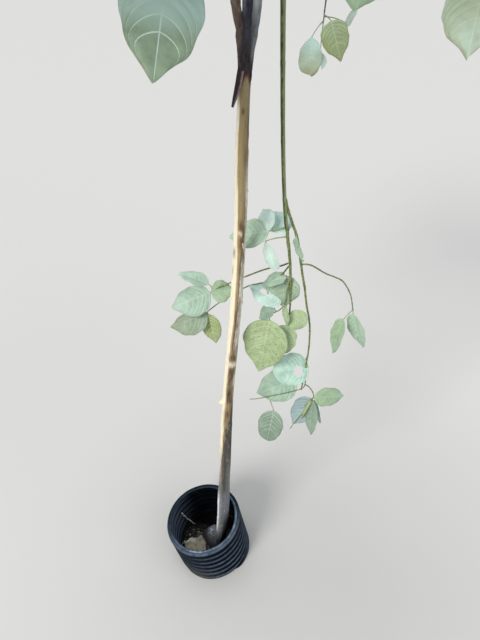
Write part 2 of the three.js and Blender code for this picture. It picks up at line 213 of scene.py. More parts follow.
def ribbon(geo, P, width, thick, face, cols=7, tint=None, cup=0.0):
    """A strip with a little thickness: face is the way its broad side looks."""
    P = np.asarray(P, float)
    T = frames(P)[0]
    width = np.broadcast_to(np.asarray(width, float), (len(P),))
    F = np.asarray(face, float)
    F = np.broadcast_to(F, P.shape)
    F = F - (F * T).sum(1)[:, None] * T
    F = F / np.linalg.norm(F, axis=1)[:, None]
    side = np.cross(T, F)
    u = np.linspace(-1, 1, cols)
    edge = thick * np.sqrt(np.maximum(0.04, 1 - u ** 4)) / 2
    lift = cup * (u ** 2)[None, :] * width[:, None]
    front = P[:, None] + side[:, None] * (u[None, :, None] * width[:, None, None] / 2) + F[:, None] * (edge[None, :] + lift)[..., None]
    back = front - F[:, None] * (2 * edge)[None, :, None]
    ring = np.concatenate([front, back[:, ::-1]], 1)
    rows, n = ring.shape[:2]
    V = ring.reshape(-1, 3)
    q = grid_quads(rows, n)
    caps = [(i, i + 1, n - 2 - i, n - 1 - i) for i in range(cols - 1)]
    q = np.concatenate([q, np.array(caps)[:, ::-1], np.array(caps) + (rows - 1) * n])
    if tint is not None:
        t = np.concatenate([u, u[::-1]])
        tint = tint(V, np.broadcast_to(t, (rows, n)).reshape(-1))
    geo.add(V, q, None, 0, 0, tint)


def bezier(a, b, c, d, n):
    t = np.linspace(0, 1, n)[:, None]
    return (1 - t) ** 3 * a + 3 * (1 - t) ** 2 * t * b + 3 * (1 - t) * t * t * c + t ** 3 * d


def resample(P, step):
    seg = np.linalg.norm(np.diff(P, axis=0), axis=1)
    s = np.concatenate([[0], np.cumsum(seg)])
    n = max(3, int(round(s[-1] / step)) + 1)
    u = np.linspace(0, s[-1], n)
    return np.stack([np.interp(u, s, P[:, k]) for k in range(3)], -1), u


def spline(points, n):
    """A smooth path through a few points."""
    P = np.asarray(points, float)
    if len(P) == 2:
        return P[0] + (P[1] - P[0]) * np.linspace(0, 1, n)[:, None]
    d = np.concatenate([[0], np.cumsum(np.linalg.norm(np.diff(P, axis=0), axis=1) ** 0.5)])
    Q = np.concatenate([[2 * P[0] - P[1]], P, [2 * P[-1] - P[-2]]])
    out = []
    u = np.linspace(0, d[-1], n)
    for x in u:
        i = min(len(P) - 2, max(0, int(np.searchsorted(d, x, side="right")) - 1))
        t = (x - d[i]) / (d[i + 1] - d[i])
        p0, p1, p2, p3 = Q[i], Q[i + 1], Q[i + 2], Q[i + 3]
        out.append(0.5 * (2 * p1 + (p2 - p0) * t + (2 * p0 - 5 * p1 + 4 * p2 - p3) * t * t + (3 * p1 - p0 - 3 * p2 + p3) * t ** 3))
    return np.array(out)


# ------------------------------------------------------------------ materials

def material(name, rough=0.6, spec=0.4):
    m = bpy.data.materials.new(name)
    m.use_nodes = True
    b = m.node_tree.nodes["Principled BSDF"]
    b.inputs["Roughness"].default_value = rough
    b.inputs["Specular IOR Level"].default_value = spec
    return m, m.node_tree, b


def node(nt, kind, **kw):
    n = nt.nodes.new(kind)
    for k, v in kw.items():
        setattr(n, k, v)
    return n


def noise_node(nt, scale, detail=4, rough=0.55, coords=None, stretch=None, distortion=0.0):
    n = node(nt, "ShaderNodeTexNoise")
    n.inputs["Scale"].default_value = scale
    n.inputs["Detail"].default_value = detail
    n.inputs["Roughness"].default_value = rough
    n.inputs["Distortion"].default_value = distortion
    tc = coords or node(nt, "ShaderNodeTexCoord").outputs["Object"]
    if stretch:
        mp = node(nt, "ShaderNodeMapping")
        mp.inputs["Scale"].default_value = stretch
        nt.links.new(tc, mp.inputs["Vector"])
        tc = mp.outputs["Vector"]
    nt.links.new(tc, n.inputs["Vector"])
    return n


def ramp(nt, source, stops):
    r = node(nt, "ShaderNodeValToRGB")
    els = r.color_ramp.elements
    while len(els) < len(stops):
        els.new(0.5)
    for e, (pos, col) in zip(els, stops):
        e.position = pos
        e.color = (*col, 1) if len(col) == 3 else col
    nt.links.new(source, r.inputs["Fac"])
    return r


def mix(nt, fac, a, b, blend="MIX"):
    m = node(nt, "ShaderNodeMix", data_type="RGBA", blend_type=blend)
    for sock, val in ((m.inputs[0], fac), (m.inputs[6], a), (m.inputs[7], b)):
        if hasattr(val, "links") or isinstance(val, bpy.types.NodeSocket):
            nt.links.new(val, sock)
        elif isinstance(val, (int, float)):
            sock.default_value = val
        else:
            sock.default_value = (*val, 1)
    return m.outputs[2]


def math_node(nt, op, a, b=None, clamp=False):
    m = node(nt, "ShaderNodeMath", operation=op, use_clamp=clamp)
    for sock, val in zip(m.inputs, (a, b)):
        if val is None:
            continue
        if isinstance(val, bpy.types.NodeSocket):
            nt.links.new(val, sock)
        else:
            sock.default_value = val
    return m.outputs[0]


def bump(nt, b, height, strength=0.3, distance=0.001):
    n = node(nt, "ShaderNodeBump")
    n.inputs["Strength"].default_value = strength
    n.inputs["Distance"].default_value = distance
    nt.links.new(height, n.inputs["Height"])
    nt.links.new(n.outputs["Normal"], b.inputs["Normal"])
    return n


def attribute(nt, name):
    return node(nt, "ShaderNodeAttribute", attribute_name=name, attribute_type="GEOMETRY")


def stem_material(name, spec=0.35):
    """Wood and bark: the colour lies in the mesh's tint, with streaks and grain."""
    m, nt, b = material(name, 0.62, spec)
    tint = attribute(nt, "tint").outputs["Color"]
    streak = noise_node(nt, 1.0, 5, 0.6, stretch=(900, 900, 42))
    fibre = ramp(nt, streak.outputs["Fac"], [(0.28, (0.62, 0.60, 0.58)), (0.52, (1, 1, 1)), (0.78, (1.25, 1.22, 1.16))])
    col = mix(nt, 0.55, tint, fibre.outputs["Color"], "MULTIPLY")
    fleck = noise_node(nt, 620, 3, 0.6)
    flecks = ramp(nt, fleck.outputs["Fac"], [(0.30, (0.66, 0.64, 0.63)), (0.46, (1, 1, 1)), (0.70, (1.1, 1.1, 1.1))])
    col = mix(nt, 0.5, col, flecks.outputs["Color"], "MULTIPLY")
    nt.links.new(col, b.inputs["Base Color"])
    bark = attribute(nt, "bark").outputs["Fac"]
    rough = ramp(nt, bark, [(0.0, (0.52,) * 3), (1.0, (0.78,) * 3)])
    nt.links.new(rough.outputs["Color"], b.inputs["Roughness"])
    h = math_node(nt, "ADD", streak.outputs["Fac"], math_node(nt, "MULTIPLY", fleck.outputs["Fac"], 0.6))
    bump(nt, b, h, 0.35, 0.0006)
    return m


def stalk_material(name, base, dark, light):
    """Young stems: one colour with fine streaks and pale lenticels."""
    m, nt, b = material(name, 0.5, 0.4)
    n = noise_node(nt, 260, 4, 0.6)
    c = ramp(nt, n.outputs["Fac"], [(0.3, dark), (0.52, base), (0.74, light)])
    nt.links.new(c.outputs["Color"], b.inputs["Base Color"])
    bump(nt, b, n.outputs["Fac"], 0.2, 0.0004)
    return m


def leaf_material(name, colour, mottle=0.10, spots=0.0, rough=0.5):
    """A blade: its mesh says where a painted sky sheen lies (red), standing for reflected light, and where it yellows
    (green).
    """
    m, nt, b = material(name, rough, 0.35)
    base = np.array(lin(*colour))
    dark = tuple(base * (1 - mottle * 1.5))
    light = tuple(np.minimum(1, base * (1 + mottle) + 0.01))
    n = noise_node(nt, 70, 4, 0.6)
    col = ramp(nt, n.outputs["Fac"], [(0.36, dark), (0.5, tuple(base)), (0.64, light)]).outputs["Color"]
    tone = node(nt, "ShaderNodeSeparateColor")
    nt.links.new(attribute(nt, "tint").outputs["Color"], tone.inputs["Color"])
    # painted reflection: the tint's red mixes in a pale sky colour
    col = mix(nt, tone.outputs["Red"], col, lin(205, 232, 227))
    col = mix(nt, tone.outputs["Green"], col, lin(152, 148, 88))
    if spots:
        s = noise_node(nt, 420, 2, 0.5)
        mask = ramp(nt, s.outputs["Fac"], [(0.0, (0, 0, 0)), (0.655 - spots, (0, 0, 0)), (0.70 - spots, (0.8, 0.8, 0.8))]).outputs["Color"]
        col = mix(nt, mask, col, lin(112, 112, 72))
    nt.links.new(col, b.inputs["Base Color"])
    f = noise_node(nt, 900, 3, 0.6)
    bump(nt, b, math_node(nt, "ADD", f.outputs["Fac"], math_node(nt, "MULTIPLY", n.outputs["Fac"], 1.5)), 0.2, 0.0005)
    return m


MAT_STEM = stem_material("bark_and_bare_wood")

LEAF = {
    # blade colour, vein colour, spots
    "pale": ((166, 192, 168), (192, 212, 192), 0.0),
    "green": ((154, 180, 146), (176, 198, 165), 0.0),
    "lime": ((163, 184, 140), (180, 197, 155), 0.035),
    "grey": ((154, 180, 160), (176, 198, 180), 0.0),
    # white is partly a lighter copy for leaves in full light: painted light
    "white": ((202, 228, 218), (226, 240, 232), 0.0),
    "blue": ((142, 162, 166), (176, 190, 194), 0.0),
    "olive": ((148, 164, 110), (192, 198, 152), 0.02),
    "sage": ((150, 172, 144), (172, 191, 165), 0.015),
    "dim": ((136, 158, 138), (157, 175, 155), 0.015),
    "mid": ((122, 148, 104), (166, 186, 142), 0.0),
    "shade": ((122, 142, 122), (164, 182, 168), 0.0),
    "mist": ((180, 212, 196), (200, 224, 210), 0.0),
    "broad": ((148, 170, 144), (212, 226, 218), 0.0),
}
LEAF_SLOTS = list(LEAF)
LEAF_MATS = [leaf_material("leaf_" + k, LEAF[k][0], 0.10, LEAF[k][2]) for k in LEAF_SLOTS]
LEAF_MATS += [leaf_material("leaf_vein_" + k, LEAF[k][1], 0.06) for k in LEAF_SLOTS]

MAT_TWIG = stalk_material("twig_bark", lin(104, 100, 78), lin(74, 66, 54), lin(146, 140, 116))
MAT_SHOOT = stalk_material("green_shoot", lin(112, 124, 74), lin(70, 80, 44), lin(160, 168, 118))
MAT_PETIOLE = stalk_material("leaf_stalk", lin(158, 172, 120), lin(126, 134, 86), lin(190, 200, 152))
MAT_BUD = stalk_material("bud", lin(138, 128, 108), lin(96, 84, 66), lin(176, 166, 144))


# ------------------------------------------------------------------ trunk

TRUNK = np.array([
    [0, 0, 0, 50], [9, 0.5, 0.5, 44], [22, 4, 0.5, 35.5], [40, 10.5, 0, 29], [62, 15, 0, 26.8],
    [137, 21, 0, 26.2], [205, 24, 0, 26.6], [290, 27.7, 0, 23.4], [355, 30.7, 0, 23], [453, 34.3, 0, 22.3],
    [571, 40.7, 0, 19.2], [684, 49.7, 0, 18.8], [769, 55.6, 0, 18.2], [901, 62, 0, 17.6], [1000, 64, 0, 16.6],
    [1070, 66.8, 0, 15.2], [1104, 68.2, 0, 18], [1119, 68.8, 0, 22], [1128, 69, 0, 25]], float)
FORK = 1128.0


def station(z, k):
    """Smooth value between the trunk's stations, without overshoot."""
    z = np.clip(np.asarray(z, float), TRUNK[0, 0], TRUNK[-1, 0])
    n = len(TRUNK)
    d = np.diff(TRUNK[:, k]) / np.diff(TRUNK[:, 0])
    m = np.zeros(n)
    for i in range(1, n - 1):
        if d[i - 1] * d[i] > 0:
            m[i] = 2 * d[i - 1] * d[i] / (d[i - 1] + d[i])
    i = np.clip(np.searchsorted(TRUNK[:, 0], z, side="right") - 1, 0, n - 2)
    h = TRUNK[i + 1, 0] - TRUNK[i, 0]
    t = (z - TRUNK[i, 0]) / h
    return ((2 * t ** 3 - 3 * t * t + 1) * TRUNK[i, k] + (t ** 3 - 2 * t * t + t) * h * m[i]
            + (3 * t * t - 2 * t ** 3) * TRUNK[i + 1, k] + (t ** 3 - t * t) * h * m[i + 1])


SHOULDERS = [(188, 0.24, 26), (262, 0.14, 24), (20, 0.10, 22), (110, 0.12, 26)]


def angle_gap(a, b):
    """Signed degrees from b to a, -180..180."""
    return (np.asarray(a, float) - b + 540) % 360 - 180


KNOB = np.array([[0, 13], [15, 19], [30, 21], [42, 18.5], [52, 12], [60, 5.5], [70, 1], [80, 0], [2000, 0]], float)


def knob(z, deg):
    """The stump of an older stem bulges behind the foot on the left."""
    return np.interp(z, KNOB[:, 0], KNOB[:, 1]) * np.exp(-(angle_gap(deg, 134) / 44) ** 2)


def trunk_radius(z, deg):
    r = station(z, 3) / 2
    fade = np.exp(-z / 17)
    f = np.ones(np.broadcast(z, deg).shape)
    for at, size, wide in SHOULDERS:
        f = f + size * np.exp(-(angle_gap(deg, at) / wide) ** 2) * fade
    r = r * f + knob(z, deg)
    # towards the fork the section turns into three stems side by side
    t = smooth(1080, 1126, z)
    zc = [1080, 1096, 1108, 1118, 1128, 1136]
    c = np.interp(z, zc, [0, 1.6, 4.0, 6.4, 9.2, 10.8])
    rc = np.interp(z, zc, [7.7, 7.4, 6.9, 6.4, 5.9, 5.2])
    a = deg * RAD
    best = rc * np.ones_like(a)
    for side in (1, -1):
        under = rc ** 2 - (c * np.sin(a)) ** 2
        reach = np.where(under > 0, side * c * np.cos(a) + np.sqrt(np.maximum(0, under)), 0)
        # a soft maximum keeps the groove between two stems rounded
        best = np.log(np.exp(best * 1.6) + np.exp(reach * 1.6)) / 1.6 - 0.0
    # the very top sinks between the limbs, which carry on from it
    return (r * (1 - t) + best * t) * (1 - 0.30 * smooth(1112, 1128, z))


def build_trunk():
    cols = 88
    zs = np.concatenate([np.arange(0, 90, 1.2), np.arange(90, 1060, 1.5), np.arange(1060, FORK + 1, 1.0)])
    deg = np.arange(cols) / cols * 360.0
    Z, D = np.meshgrid(zs, deg, indexing="ij")
    A = D * RAD
    R = trunk_radius(Z, D)
    R0 = R.copy()
    # coordinates that run round the stem without a seam
    CX, CY = np.cos(A), np.sin(A)
    U = CX * 9.0
    W = CY * 9.0
    # across the front: 0 at the left edge, 1 at the right edge
    front = (angle_gap(D, 272) > -90) & (angle_gap(D, 272) < 90)
    X01 = np.where(front, (1 + np.sin(angle_gap(D, 272) * RAD)) / 2, np.where(angle_gap(D, 272) > 0, 1.0, 0.0))

    # --- where the bark is
    edge = 5.0 * fbm(U / 3.2, W / 3.2, Z / 22.0, 4, 11) + 2.5 * fbm(U / 1.1, W / 1.1, Z / 6.0, 3, 12)
    rag = 4.0 * fbm(U / 1.0, W / 1.0, Z / 3.2, 3, 13)
    top_edge = 1077 + 4.5 * fbm(U / 2.2, W / 2.2, 0.3, 3, 17) - 5 * np.exp(-(angle_gap(D, 205) / 26) ** 2) - 7 * np.exp(-(angle_gap(D, 330) / 24) ** 2) + 3.0 * np.exp(-(angle_gap(D, 280) / 18) ** 2)
    top = smooth(-1.3, 1.3, Z - top_edge + 0.5 * edge)
    # the strip left on the right: from where it starts to where it ends, round the back
    zk = [0, 240, 300, 345, 368, 395, 420, 450, 480, 508, 538, 570, 613, 643, 660, 692, 722, 773, 808, 839, 882, 920, 950, 984, 1000]
    starts = [150, 176, 196, 214, 226, 244, 256, 268, 290, 306, 322, 316, 318, 320, 300, 284, 292, 293, 296, 300, 312, 316, 322, 336, 352]
    ze = [0, 240, 300, 368, 464, 549, 634, 692, 772, 839, 935, 985, 1000]
    ends = [510, 536, 530, 512, 496, 482, 468, 460, 448, 430, 392, 368, 356]
    sb = np.interp(Z, zk, starts)
    eb = np.interp(Z, ze, ends)
    Dk = np.where(D < sb - 60, D + 360, D)
    wob = 1.5 * edge + 1.2 * rag + 3 * fbm(U, W, Z / 60.0, 2, 15)
    strip = smooth(-4, 4, Dk - sb + wob) * smooth(-4, 4, eb - Dk + wob) * smooth(1002, 980, Z + edge)
    foot = smooth(262, 236, Z + 3.0 * edge + 12 * np.cos((D - 300) * RAD))
    low = np.maximum(strip, foot)
    bark = np.maximum(top, low)

    # --- relief
    fibre = fbm(U / 0.55, W / 0.55, Z / 26.0, 4, 21)
    lumps = fbm(U / 7, W / 7, Z / 34.0, 3, 22)
    fine = fbm(U / 0.9, W / 0.9, Z / 3.0, 3, 28)
    wood = 0.10 * fibre + 0.30 * lumps + 0.05 * fine
    crust = fbm(U / 1.6, W / 1.6, Z / 4.2, 4, 23)
    wrinkle = 1 - np.abs(fbm(U / 3.0, W / 3.0, Z / 3.4, 3, 24)) * 2
    grey_bark = 0.16 * crust + 0.25 * lumps + 0.10 * fibre
    dark_bark = 0.30 * crust + 0.35 * wrinkle * smooth(1070, 1100, Z)
    # bark stands proud of the bare wood, and its torn lip curls out a little
    lip_low = np.exp(-((low - 0.5) / 0.22) ** 2) * (low > 0.15) * (bark == low) * smooth(300, 380, Z)
    lip_top = np.exp(-((top - 0.55) / 0.25) ** 2)
    R = R + bark * 0.55 - 0.35 + (1 - bark) * wood + low * grey_bark + top * dark_bark + 0.35 * lip_low + 0.5 * lip_top

    def blob(d0, z0, wd, wz):
        return np.exp(-(angle_gap(D, d0) / wd) ** 2 - ((Z - z0) / wz) ** 2)

    # the dark split down the bare wood, right of the middle
    groove_mid = np.interp(Z, [640, 665, 700, 725, 745], [266, 270, 277, 280, 279]) + 2.0 * fbm(0, 0, Z / 18.0, 3, 31)
    gw = np.interp(Z, [640, 665, 700, 725, 745], [2.0, 4.5, 5.0, 4.0, 1.0])
    groove = np.exp(-(angle_gap(D, groove_mid) / gw) ** 2) * smooth(655, 668, Z) * smooth(740, 722, Z)
    R = R - 0.9 * groove
    # knot with a torn ledge
    R = R + 1.9 * blob(268, 639, 30, 4.5) * (1 - 0.5 * smooth(639, 633, Z)) - 0.9 * blob(268, 627, 26, 7)
    R = R + 0.8 * blob(272, 720, 20, 4) + 0.7 * blob(200, 772, 20, 8)
    # a nub on the left, the stub of a lost side shoot, and a smaller one below
    nub = blob(196, 537, 23, 5.0)
    R = R + 6.8 * nub ** 0.9 + 2.0 * blob(190, 391, 22, 5) + 0.9 * blob(352, 770, 24, 6)
    R = R + 0.9 * blob(320, 948, 14, 5) + 0.8 * blob(312, 918, 13, 4) + 0.8 * blob(335, 774, 16, 5)
    for z0 in (128, 248, 470, 590, 700, 815, 925, 1012):
        R = R + 0.35 * np.exp(-((Z - z0 - 2 * np.sin(A * 2)) / 5.0) ** 2)
    # the root shoulders are a little knobbly
    R = R + smooth(70, 10, Z) * (1.4 * fbm(U / 3.5, W / 3.5, Z / 12.0, 4, 41)) + smooth(90, 50, Z) * knob(Z, D) * 0.05 * fbm(U / 1.5, W / 1.5, Z / 6.0, 3, 43)
    R = np.minimum(R, R0 + 2.8 + 5.5 * nub)

    X = station(Z, 1) + CX * R
    Y = station(Z, 2) + CY * R
    V = np.stack([X, Y, Z], -1).reshape(-1, 3)

    # --- colour
    def mixc(a, b, t):
        return a * (1 - t[..., None]) + np.asarray(b) * t[..., None]

    def col(*c):
        return np.array(lin(*c))

    cream, tan, olive = col(247, 238, 212), col(170, 147, 106), col(156, 139, 100)
    # bare wood: cream on the left edge, partly the wood's own pale colour and partly painted light on the side that
    # faces the light, then tan, then a darker mottled band
    zc = [300, 345, 375, 410, 450, 485, 515, 540, 565, 620, 666, 700, 728, 760, 795, 826, 849, 871, 891, 912, 950, 990, 1025, 1074]
    cb = np.interp(Z, zc, [213, 217, 226, 233, 239, 237, 234, 245, 243, 247, 252, 249, 260, 256, 260, 262, 257, 250, 249, 245, 235, 227, 231, 228])
    patch = fbm(U / 1.5, W / 1.5, Z / 16.0, 4, 53)
    streak = fbm(U / 0.8, W / 0.8, Z / 60.0, 4, 52)
    side = angle_gap(D, cb) + 9 * fbm(U / 1.0, W / 1.0, Z / 26.0, 3, 51)
    C = mixc(np.broadcast_to(cream, (*Z.shape, 3)), tan, smooth(-7, 8, side) * smooth(190, 150, side))
    C = mixc(C, col(206, 182, 140), smooth(-85, -115, angle_gap(D, cb)))
    up = smooth(870, 900, Z)
    C = mixc(C, olive, up * smooth(-4, 16, side) * 0.8)
    C = mixc(C, cream * 0.9, smooth(0.15, 0.5, streak) * smooth(24, 0, side) * 0.45)
    C = mixc(C, col(142, 112, 76), smooth(0.05, 0.45, -streak) * smooth(-10, 10, side) * 0.55)
    # the dark band between the tan wood and the strip
    mott = smooth(-0.25, 0.35, patch + 0.5 * fine)
    zb = [380, 450, 500, 532, 545, 620, 650, 690, 740, 790, 860, 885, 900, 1077]
    first = np.interp(Z, zb, [6, 8, 12, 26, 12, 12, 12, 26, 14, 24, 24, 22, 44, 50])
    much = np.interp(Z, zb, [0.9, 1.0, 0.75, 0.5, 1.0, 1.0, 0.9, 0.45, 0.95, 0.5, 0.8, 0.9, 0.45, 0.35])
    deepc = mixc(np.broadcast_to(col(98, 82, 58), (*Z.shape, 3)), col(74, 60, 42), smooth(690, 610, Z))
    deepc = mixc(deepc, col(62, 56, 48), smooth(500, 440, Z))
    band = much * smooth(first - 6, first + 8, side) * smooth(175, 150, side)
    C = mixc(C, deepc, band * (0.50 + 0.50 * mott))
    C = mixc(C, col(160, 142, 116), band * smooth(0.05, 0.4, -patch) * 0.5)
    # painted shade: the wood just below the torn bark edge is darkened
    C = mixc(C, col(152, 138, 106), smooth(1042, 1062, Z) * 0.75)
    # low down the light edge gets duller and spotted
    C = mixc(C, col(196, 184, 166), smooth(430, 370, Z) * smooth(6, -8, side) * 0.7)
    # stains where the photograph has them
    def stain(c, k, d0, z0, wd, wz):
        nonlocal C
        C = mixc(C, col(*c), np.clip(k * blob(d0, z0, wd, wz) * (1 + 0.9 * patch + 0.5 * streak), 0, 1))
    stain((112, 76, 48), 0.9, 268, 1040, 14, 4)
    stain((98, 86, 62), 0.9, 312, 990, 20, 11)
    stain((112, 84, 54), 0.9, 274, 893, 16, 9)
    stain((98, 78, 50), 0.9, 300, 889, 18, 11)
    stain((226, 212, 188), 0.8, 262, 884, 22, 3.0)
    stain((92, 72, 50), 0.95, 290, 868, 20, 9)
    stain((150, 116, 84), 0.8, 268, 868, 12, 6)
    stain((226, 208, 196), 0.7, 283, 881, 10, 3)
    stain((88, 74, 56), 0.95, 293, 828, 16, 13)
    stain((88, 70, 52), 0.9, 289, 730, 15, 10)
    stain((84, 62, 46), 0.8, 276, 748, 8, 5)
    stain((100, 84, 64), 0.9, 282, 653, 34, 8)
    stain((98, 80, 54), 0.8, 294, 748, 14, 20)
    stain((170, 164, 140), 0.85, 324, 948, 22, 20)
    stain((92, 92, 72), 0.8, 334, 1024, 20, 14)
    stain((76, 62, 42), 0.8, 284, 602, 22, 14)
    stain((58, 44, 28), 0.95, 286, 566, 20, 14)
    stain((84, 68, 44), 0.85, 288, 620, 22, 7)
    stain((84, 66, 44), 0.85, 277, 512, 11, 10)
    stain((240, 230, 210), 1.0, 274, 637, 40, 5.0)
    stain((92, 74, 52), 0.95, 282, 620, 30, 9)
    stain((58, 46, 32), 0.95, 276, 563, 14, 15)
    stain((62, 54, 44), 0.8, 278, 446, 12, 16)
    stain((54, 48, 42), 0.8, 280, 410, 14, 13)
    stain((92, 80, 58), 0.85, 216, 851, 16, 8)
    stain((96, 86, 68), 0.7, 206, 822, 14, 9)
    stain((246, 238, 208), 0.9, 198, 537, 30, 7)
    stain((226, 214, 186), 0.8, 192, 391, 24, 5)
    C = mixc(C, col(96, 72, 54), np.clip(groove * 1.15, 0, 1))
    C = mixc(C, col(184, 172, 144), np.exp(-((angle_gap(D, groove_mid) - 10) / 5.0) ** 2) * smooth(665, 675, Z) * smooth(740, 715, Z) * 0.7)
    C = mixc(C, col(124, 116, 98), np.exp(-((angle_gap(D, groove_mid) - 22) / 6.0) ** 2) * smooth(665, 675, Z) * smooth(740, 715, Z) * 0.7)
    # inner bark shows brown along the strip's torn edge
    inner = smooth(-17, -2, Dk - sb + wob) * smooth(12, 1, Dk - sb + wob) * smooth(960, 900, Z) * smooth(300, 360, Z)
    C = mixc(C, col(106, 84, 60), inner * 0.5 * smooth(470, 520, Z))
    # the pale grey is the strip's own pale bark made lighter still, as painted light for the shaded right side
    pale_grey, mid_grey = col(222, 217, 201), col(158, 149, 134)
    G = mixc(np.broadcast_to(mid_grey, (*Z.shape, 3)), pale_grey, smooth(655, 700, Z) + smooth(615, 600, Z) * smooth(578, 590, Z) * 0.9)
    G = mixc(G, col(84, 80, 70), smooth(560, 515, Z))
    G = mixc(G, col(70, 68, 62), smooth(515, 480, Z))
    G = mixc(G, col(92, 91, 89), smooth(430, 360, Z))
    G = mixc(G, col(104, 108, 114), smooth(300, 220, Z))
    lit = 1 - 0.75 * smooth(545, 500, Z)
    G = mixc(G, col(116, 108, 98), smooth(-0.1, 0.45, fbm(U / 2.2, W / 2.2, Z / 14.0, 4, 61)) * 0.65 * lit)
    G = mixc(G, col(70, 66, 64), smooth(-0.05, 0.4, fbm(U / 1.8, W / 1.8, Z / 9.0, 4, 68)) * 0.55 * (1 - lit) * smooth(170, 260, Z))
    G = mixc(G, col(146, 120, 96), smooth(0.15, 0.5, fbm(U / 2.0, W / 2.0, Z / 24.0, 3, 62)) * 0.45 * lit)
    G = mixc(G, pale_grey, smooth(0.2, 0.55, fbm(U / 1.2, W / 1.2, Z / 9.0, 3, 64)) * 0.5 * (0.35 + 0.65 * lit))
    # dark seam left of the middle, reddish spots, and a lighter right side that is painted light
    G = mixc(G, col(56, 53, 50), np.exp(-((X01 - 0.46) / 0.15) ** 2) * front * smooth(430, 380, Z) * smooth(225, 275, Z) * 0.75)
    G = mixc(G, col(136, 96, 78), smooth(430, 380, Z) * smooth(240, 290, Z) * smooth(0.15, 0.45, patch) * smooth(0.5, 0.2, X01) * 0.7)
    G = mixc(G, col(126, 130, 130), smooth(370, 320, Z) * smooth(190, 250, Z) * smooth(0.7, 0.9, X01) * 0.6)
    # painted light on the left: a lighter left edge, near white along the foot's lit left edge
    G = mixc(G, col(170, 160, 146), smooth(430, 360, Z) * smooth(250, 300, Z) * smooth(0.24, 0.10, X01) * front * 0.7)
    G = mixc(G, col(236, 238, 238), smooth(270, 200, Z) * smooth(56, 114, Z) * smooth(0.19, 0.08, X01) * front * 0.95)
    # painted shade on the right of the foot: dark, near black just above the collar, bluish grey higher up
    right_foot_painted_shade = smooth(175, 100, Z) * smooth(0.42, 0.62, X01) * front
    G = mixc(G, col(40, 44, 54), right_foot_painted_shade * 0.75)
    G = mixc(G, col(16, 16, 20), smooth(118, 72, Z) * smooth(0.44, 0.66, X01) * front * 0.95)
    G = mixc(G, col(112, 120, 134), smooth(250, 205, Z) * smooth(160, 190, Z) * smooth(0.6, 0.8, X01) * 0.6)
    # painted light: a paler band left of the middle, low down
    G = mixc(G, col(136, 140, 144), smooth(270, 200, Z) * smooth(0.36, 0.22, X01) * front * smooth(0.07, 0.17, X01) * 0.7)
    # lighter speckles on the knob, kept to its upper part where they also stand for painted light, and painted shade
    # towards the ground
    kn = np.clip(np.clip(knob(Z, D) / 6, 0, 1) + smooth(52, 34, Z) * smooth(0.62, 0.42, X01), 0, 1)
    G = mixc(G, col(98, 98, 110), kn * 0.9)
    G = mixc(G, col(210, 216, 226), kn * smooth(0.02, 0.34, fbm(U / 0.8, W / 0.8, Z / 2.2, 3, 66)) * smooth(18, 44, Z) * 0.9)
    G = mixc(G, col(46, 44, 48), smooth(34, 10, Z) * 0.85)
    # more mottling everywhere on the grey bark
    G = G * (1 + 0.26 * fbm(U / 1.1, W / 1.1, Z / 5.0, 4, 69) * smooth(60, 120, Z))[..., None]
    C = mixc(C, G, low)
    stain((236, 226, 208), 1.0, 300, 635, 44, 5.5)
    stain((214, 206, 186), 0.8, 328, 594, 18, 12)
    stain((94, 82, 62), 0.85, 314, 848, 12, 9)
    stain((122, 112, 96), 0.8, 314, 826, 10, 10)
    stain((214, 208, 188), 0.7, 332, 938, 16, 32)
    stain((124, 128, 104), 0.9, 342, 1054, 18, 12)
    stain((92, 92, 72), 0.9, 344, 1024, 20, 13)
    stain((100, 88, 66), 0.75, 314, 880, 11, 14)
    stain((96, 82, 64), 0.85, 301, 724, 12, 14)
    stain((112, 106, 90), 0.8, 301, 701, 12, 8)
    stain((112, 94, 70), 0.8, 299, 760, 12, 13)
    C = mixc(C, col(104, 84, 64), lip_low * smooth(440, 520, Z) * 0.5)
    # the bark left below the fork: dark, lighter towards each limb's own side
    K = mixc(np.broadcast_to(col(56, 48, 52), (*Z.shape, 3)), col(30, 25, 28), smooth(-0.1, 0.4, crust))
    K = mixc(K, col(92, 84, 92), smooth(0.25, 0.6, fbm(U / 1.8, W / 1.8, Z / 8.0, 3, 63)) * 0.5)
    rightside = smooth(0.70, 0.92, X01) * smooth(1086, 1100, Z)
    K = mixc(K, col(126, 134, 142), rightside * (0.75 + 0.25 * streak))
    leftside = smooth(0.26, 0.06, X01) * smooth(1094, 1112, Z)
    K = mixc(K, col(110, 92, 80), leftside * 0.8)
    K = mixc(K, col(98, 82, 82), smooth(0.16, 0.05, X01) * smooth(1104, 1094, Z) * 0.6)
    K = mixc(K, col(70, 76, 98), smooth(1100, 1124, Z) * smooth(0.25, 0.42, X01) * smooth(0.75, 0.6, X01) * 0.7)
    C = mixc(C, K, top)
    rim = np.exp(-((Z - top_edge + 0.5 * edge + 0.9) / 2.6) ** 2)
    C = mixc(C, col(98, 50, 38), rim * 0.9)

    geo = Geo()
    q = grid_quads(len(zs), cols)
    # closed under the foot and, out of sight, between the stems at the top
    Vb = np.concatenate([V, [[station(0, 1), station(0, 2), 0.0]], [[69.0, 0.0, FORK + 2.0]]])
    j = np.arange(cols)
    k = (j + 1) % cols
    last = (len(zs) - 1) * cols
    tris = np.concatenate([np.stack([np.full(cols, len(V)), k, j], -1), np.stack([np.full(cols, len(V) + 1), last + j, last + k], -1)])
    tint = np.concatenate([C.reshape(-1, 3), [list(mid_grey)], [lin(48, 42, 54)]])
    geo.add(Vb, q, tris, 0, 0, tint)
    flags = [bark.ravel(), [1.0, 1.0]]

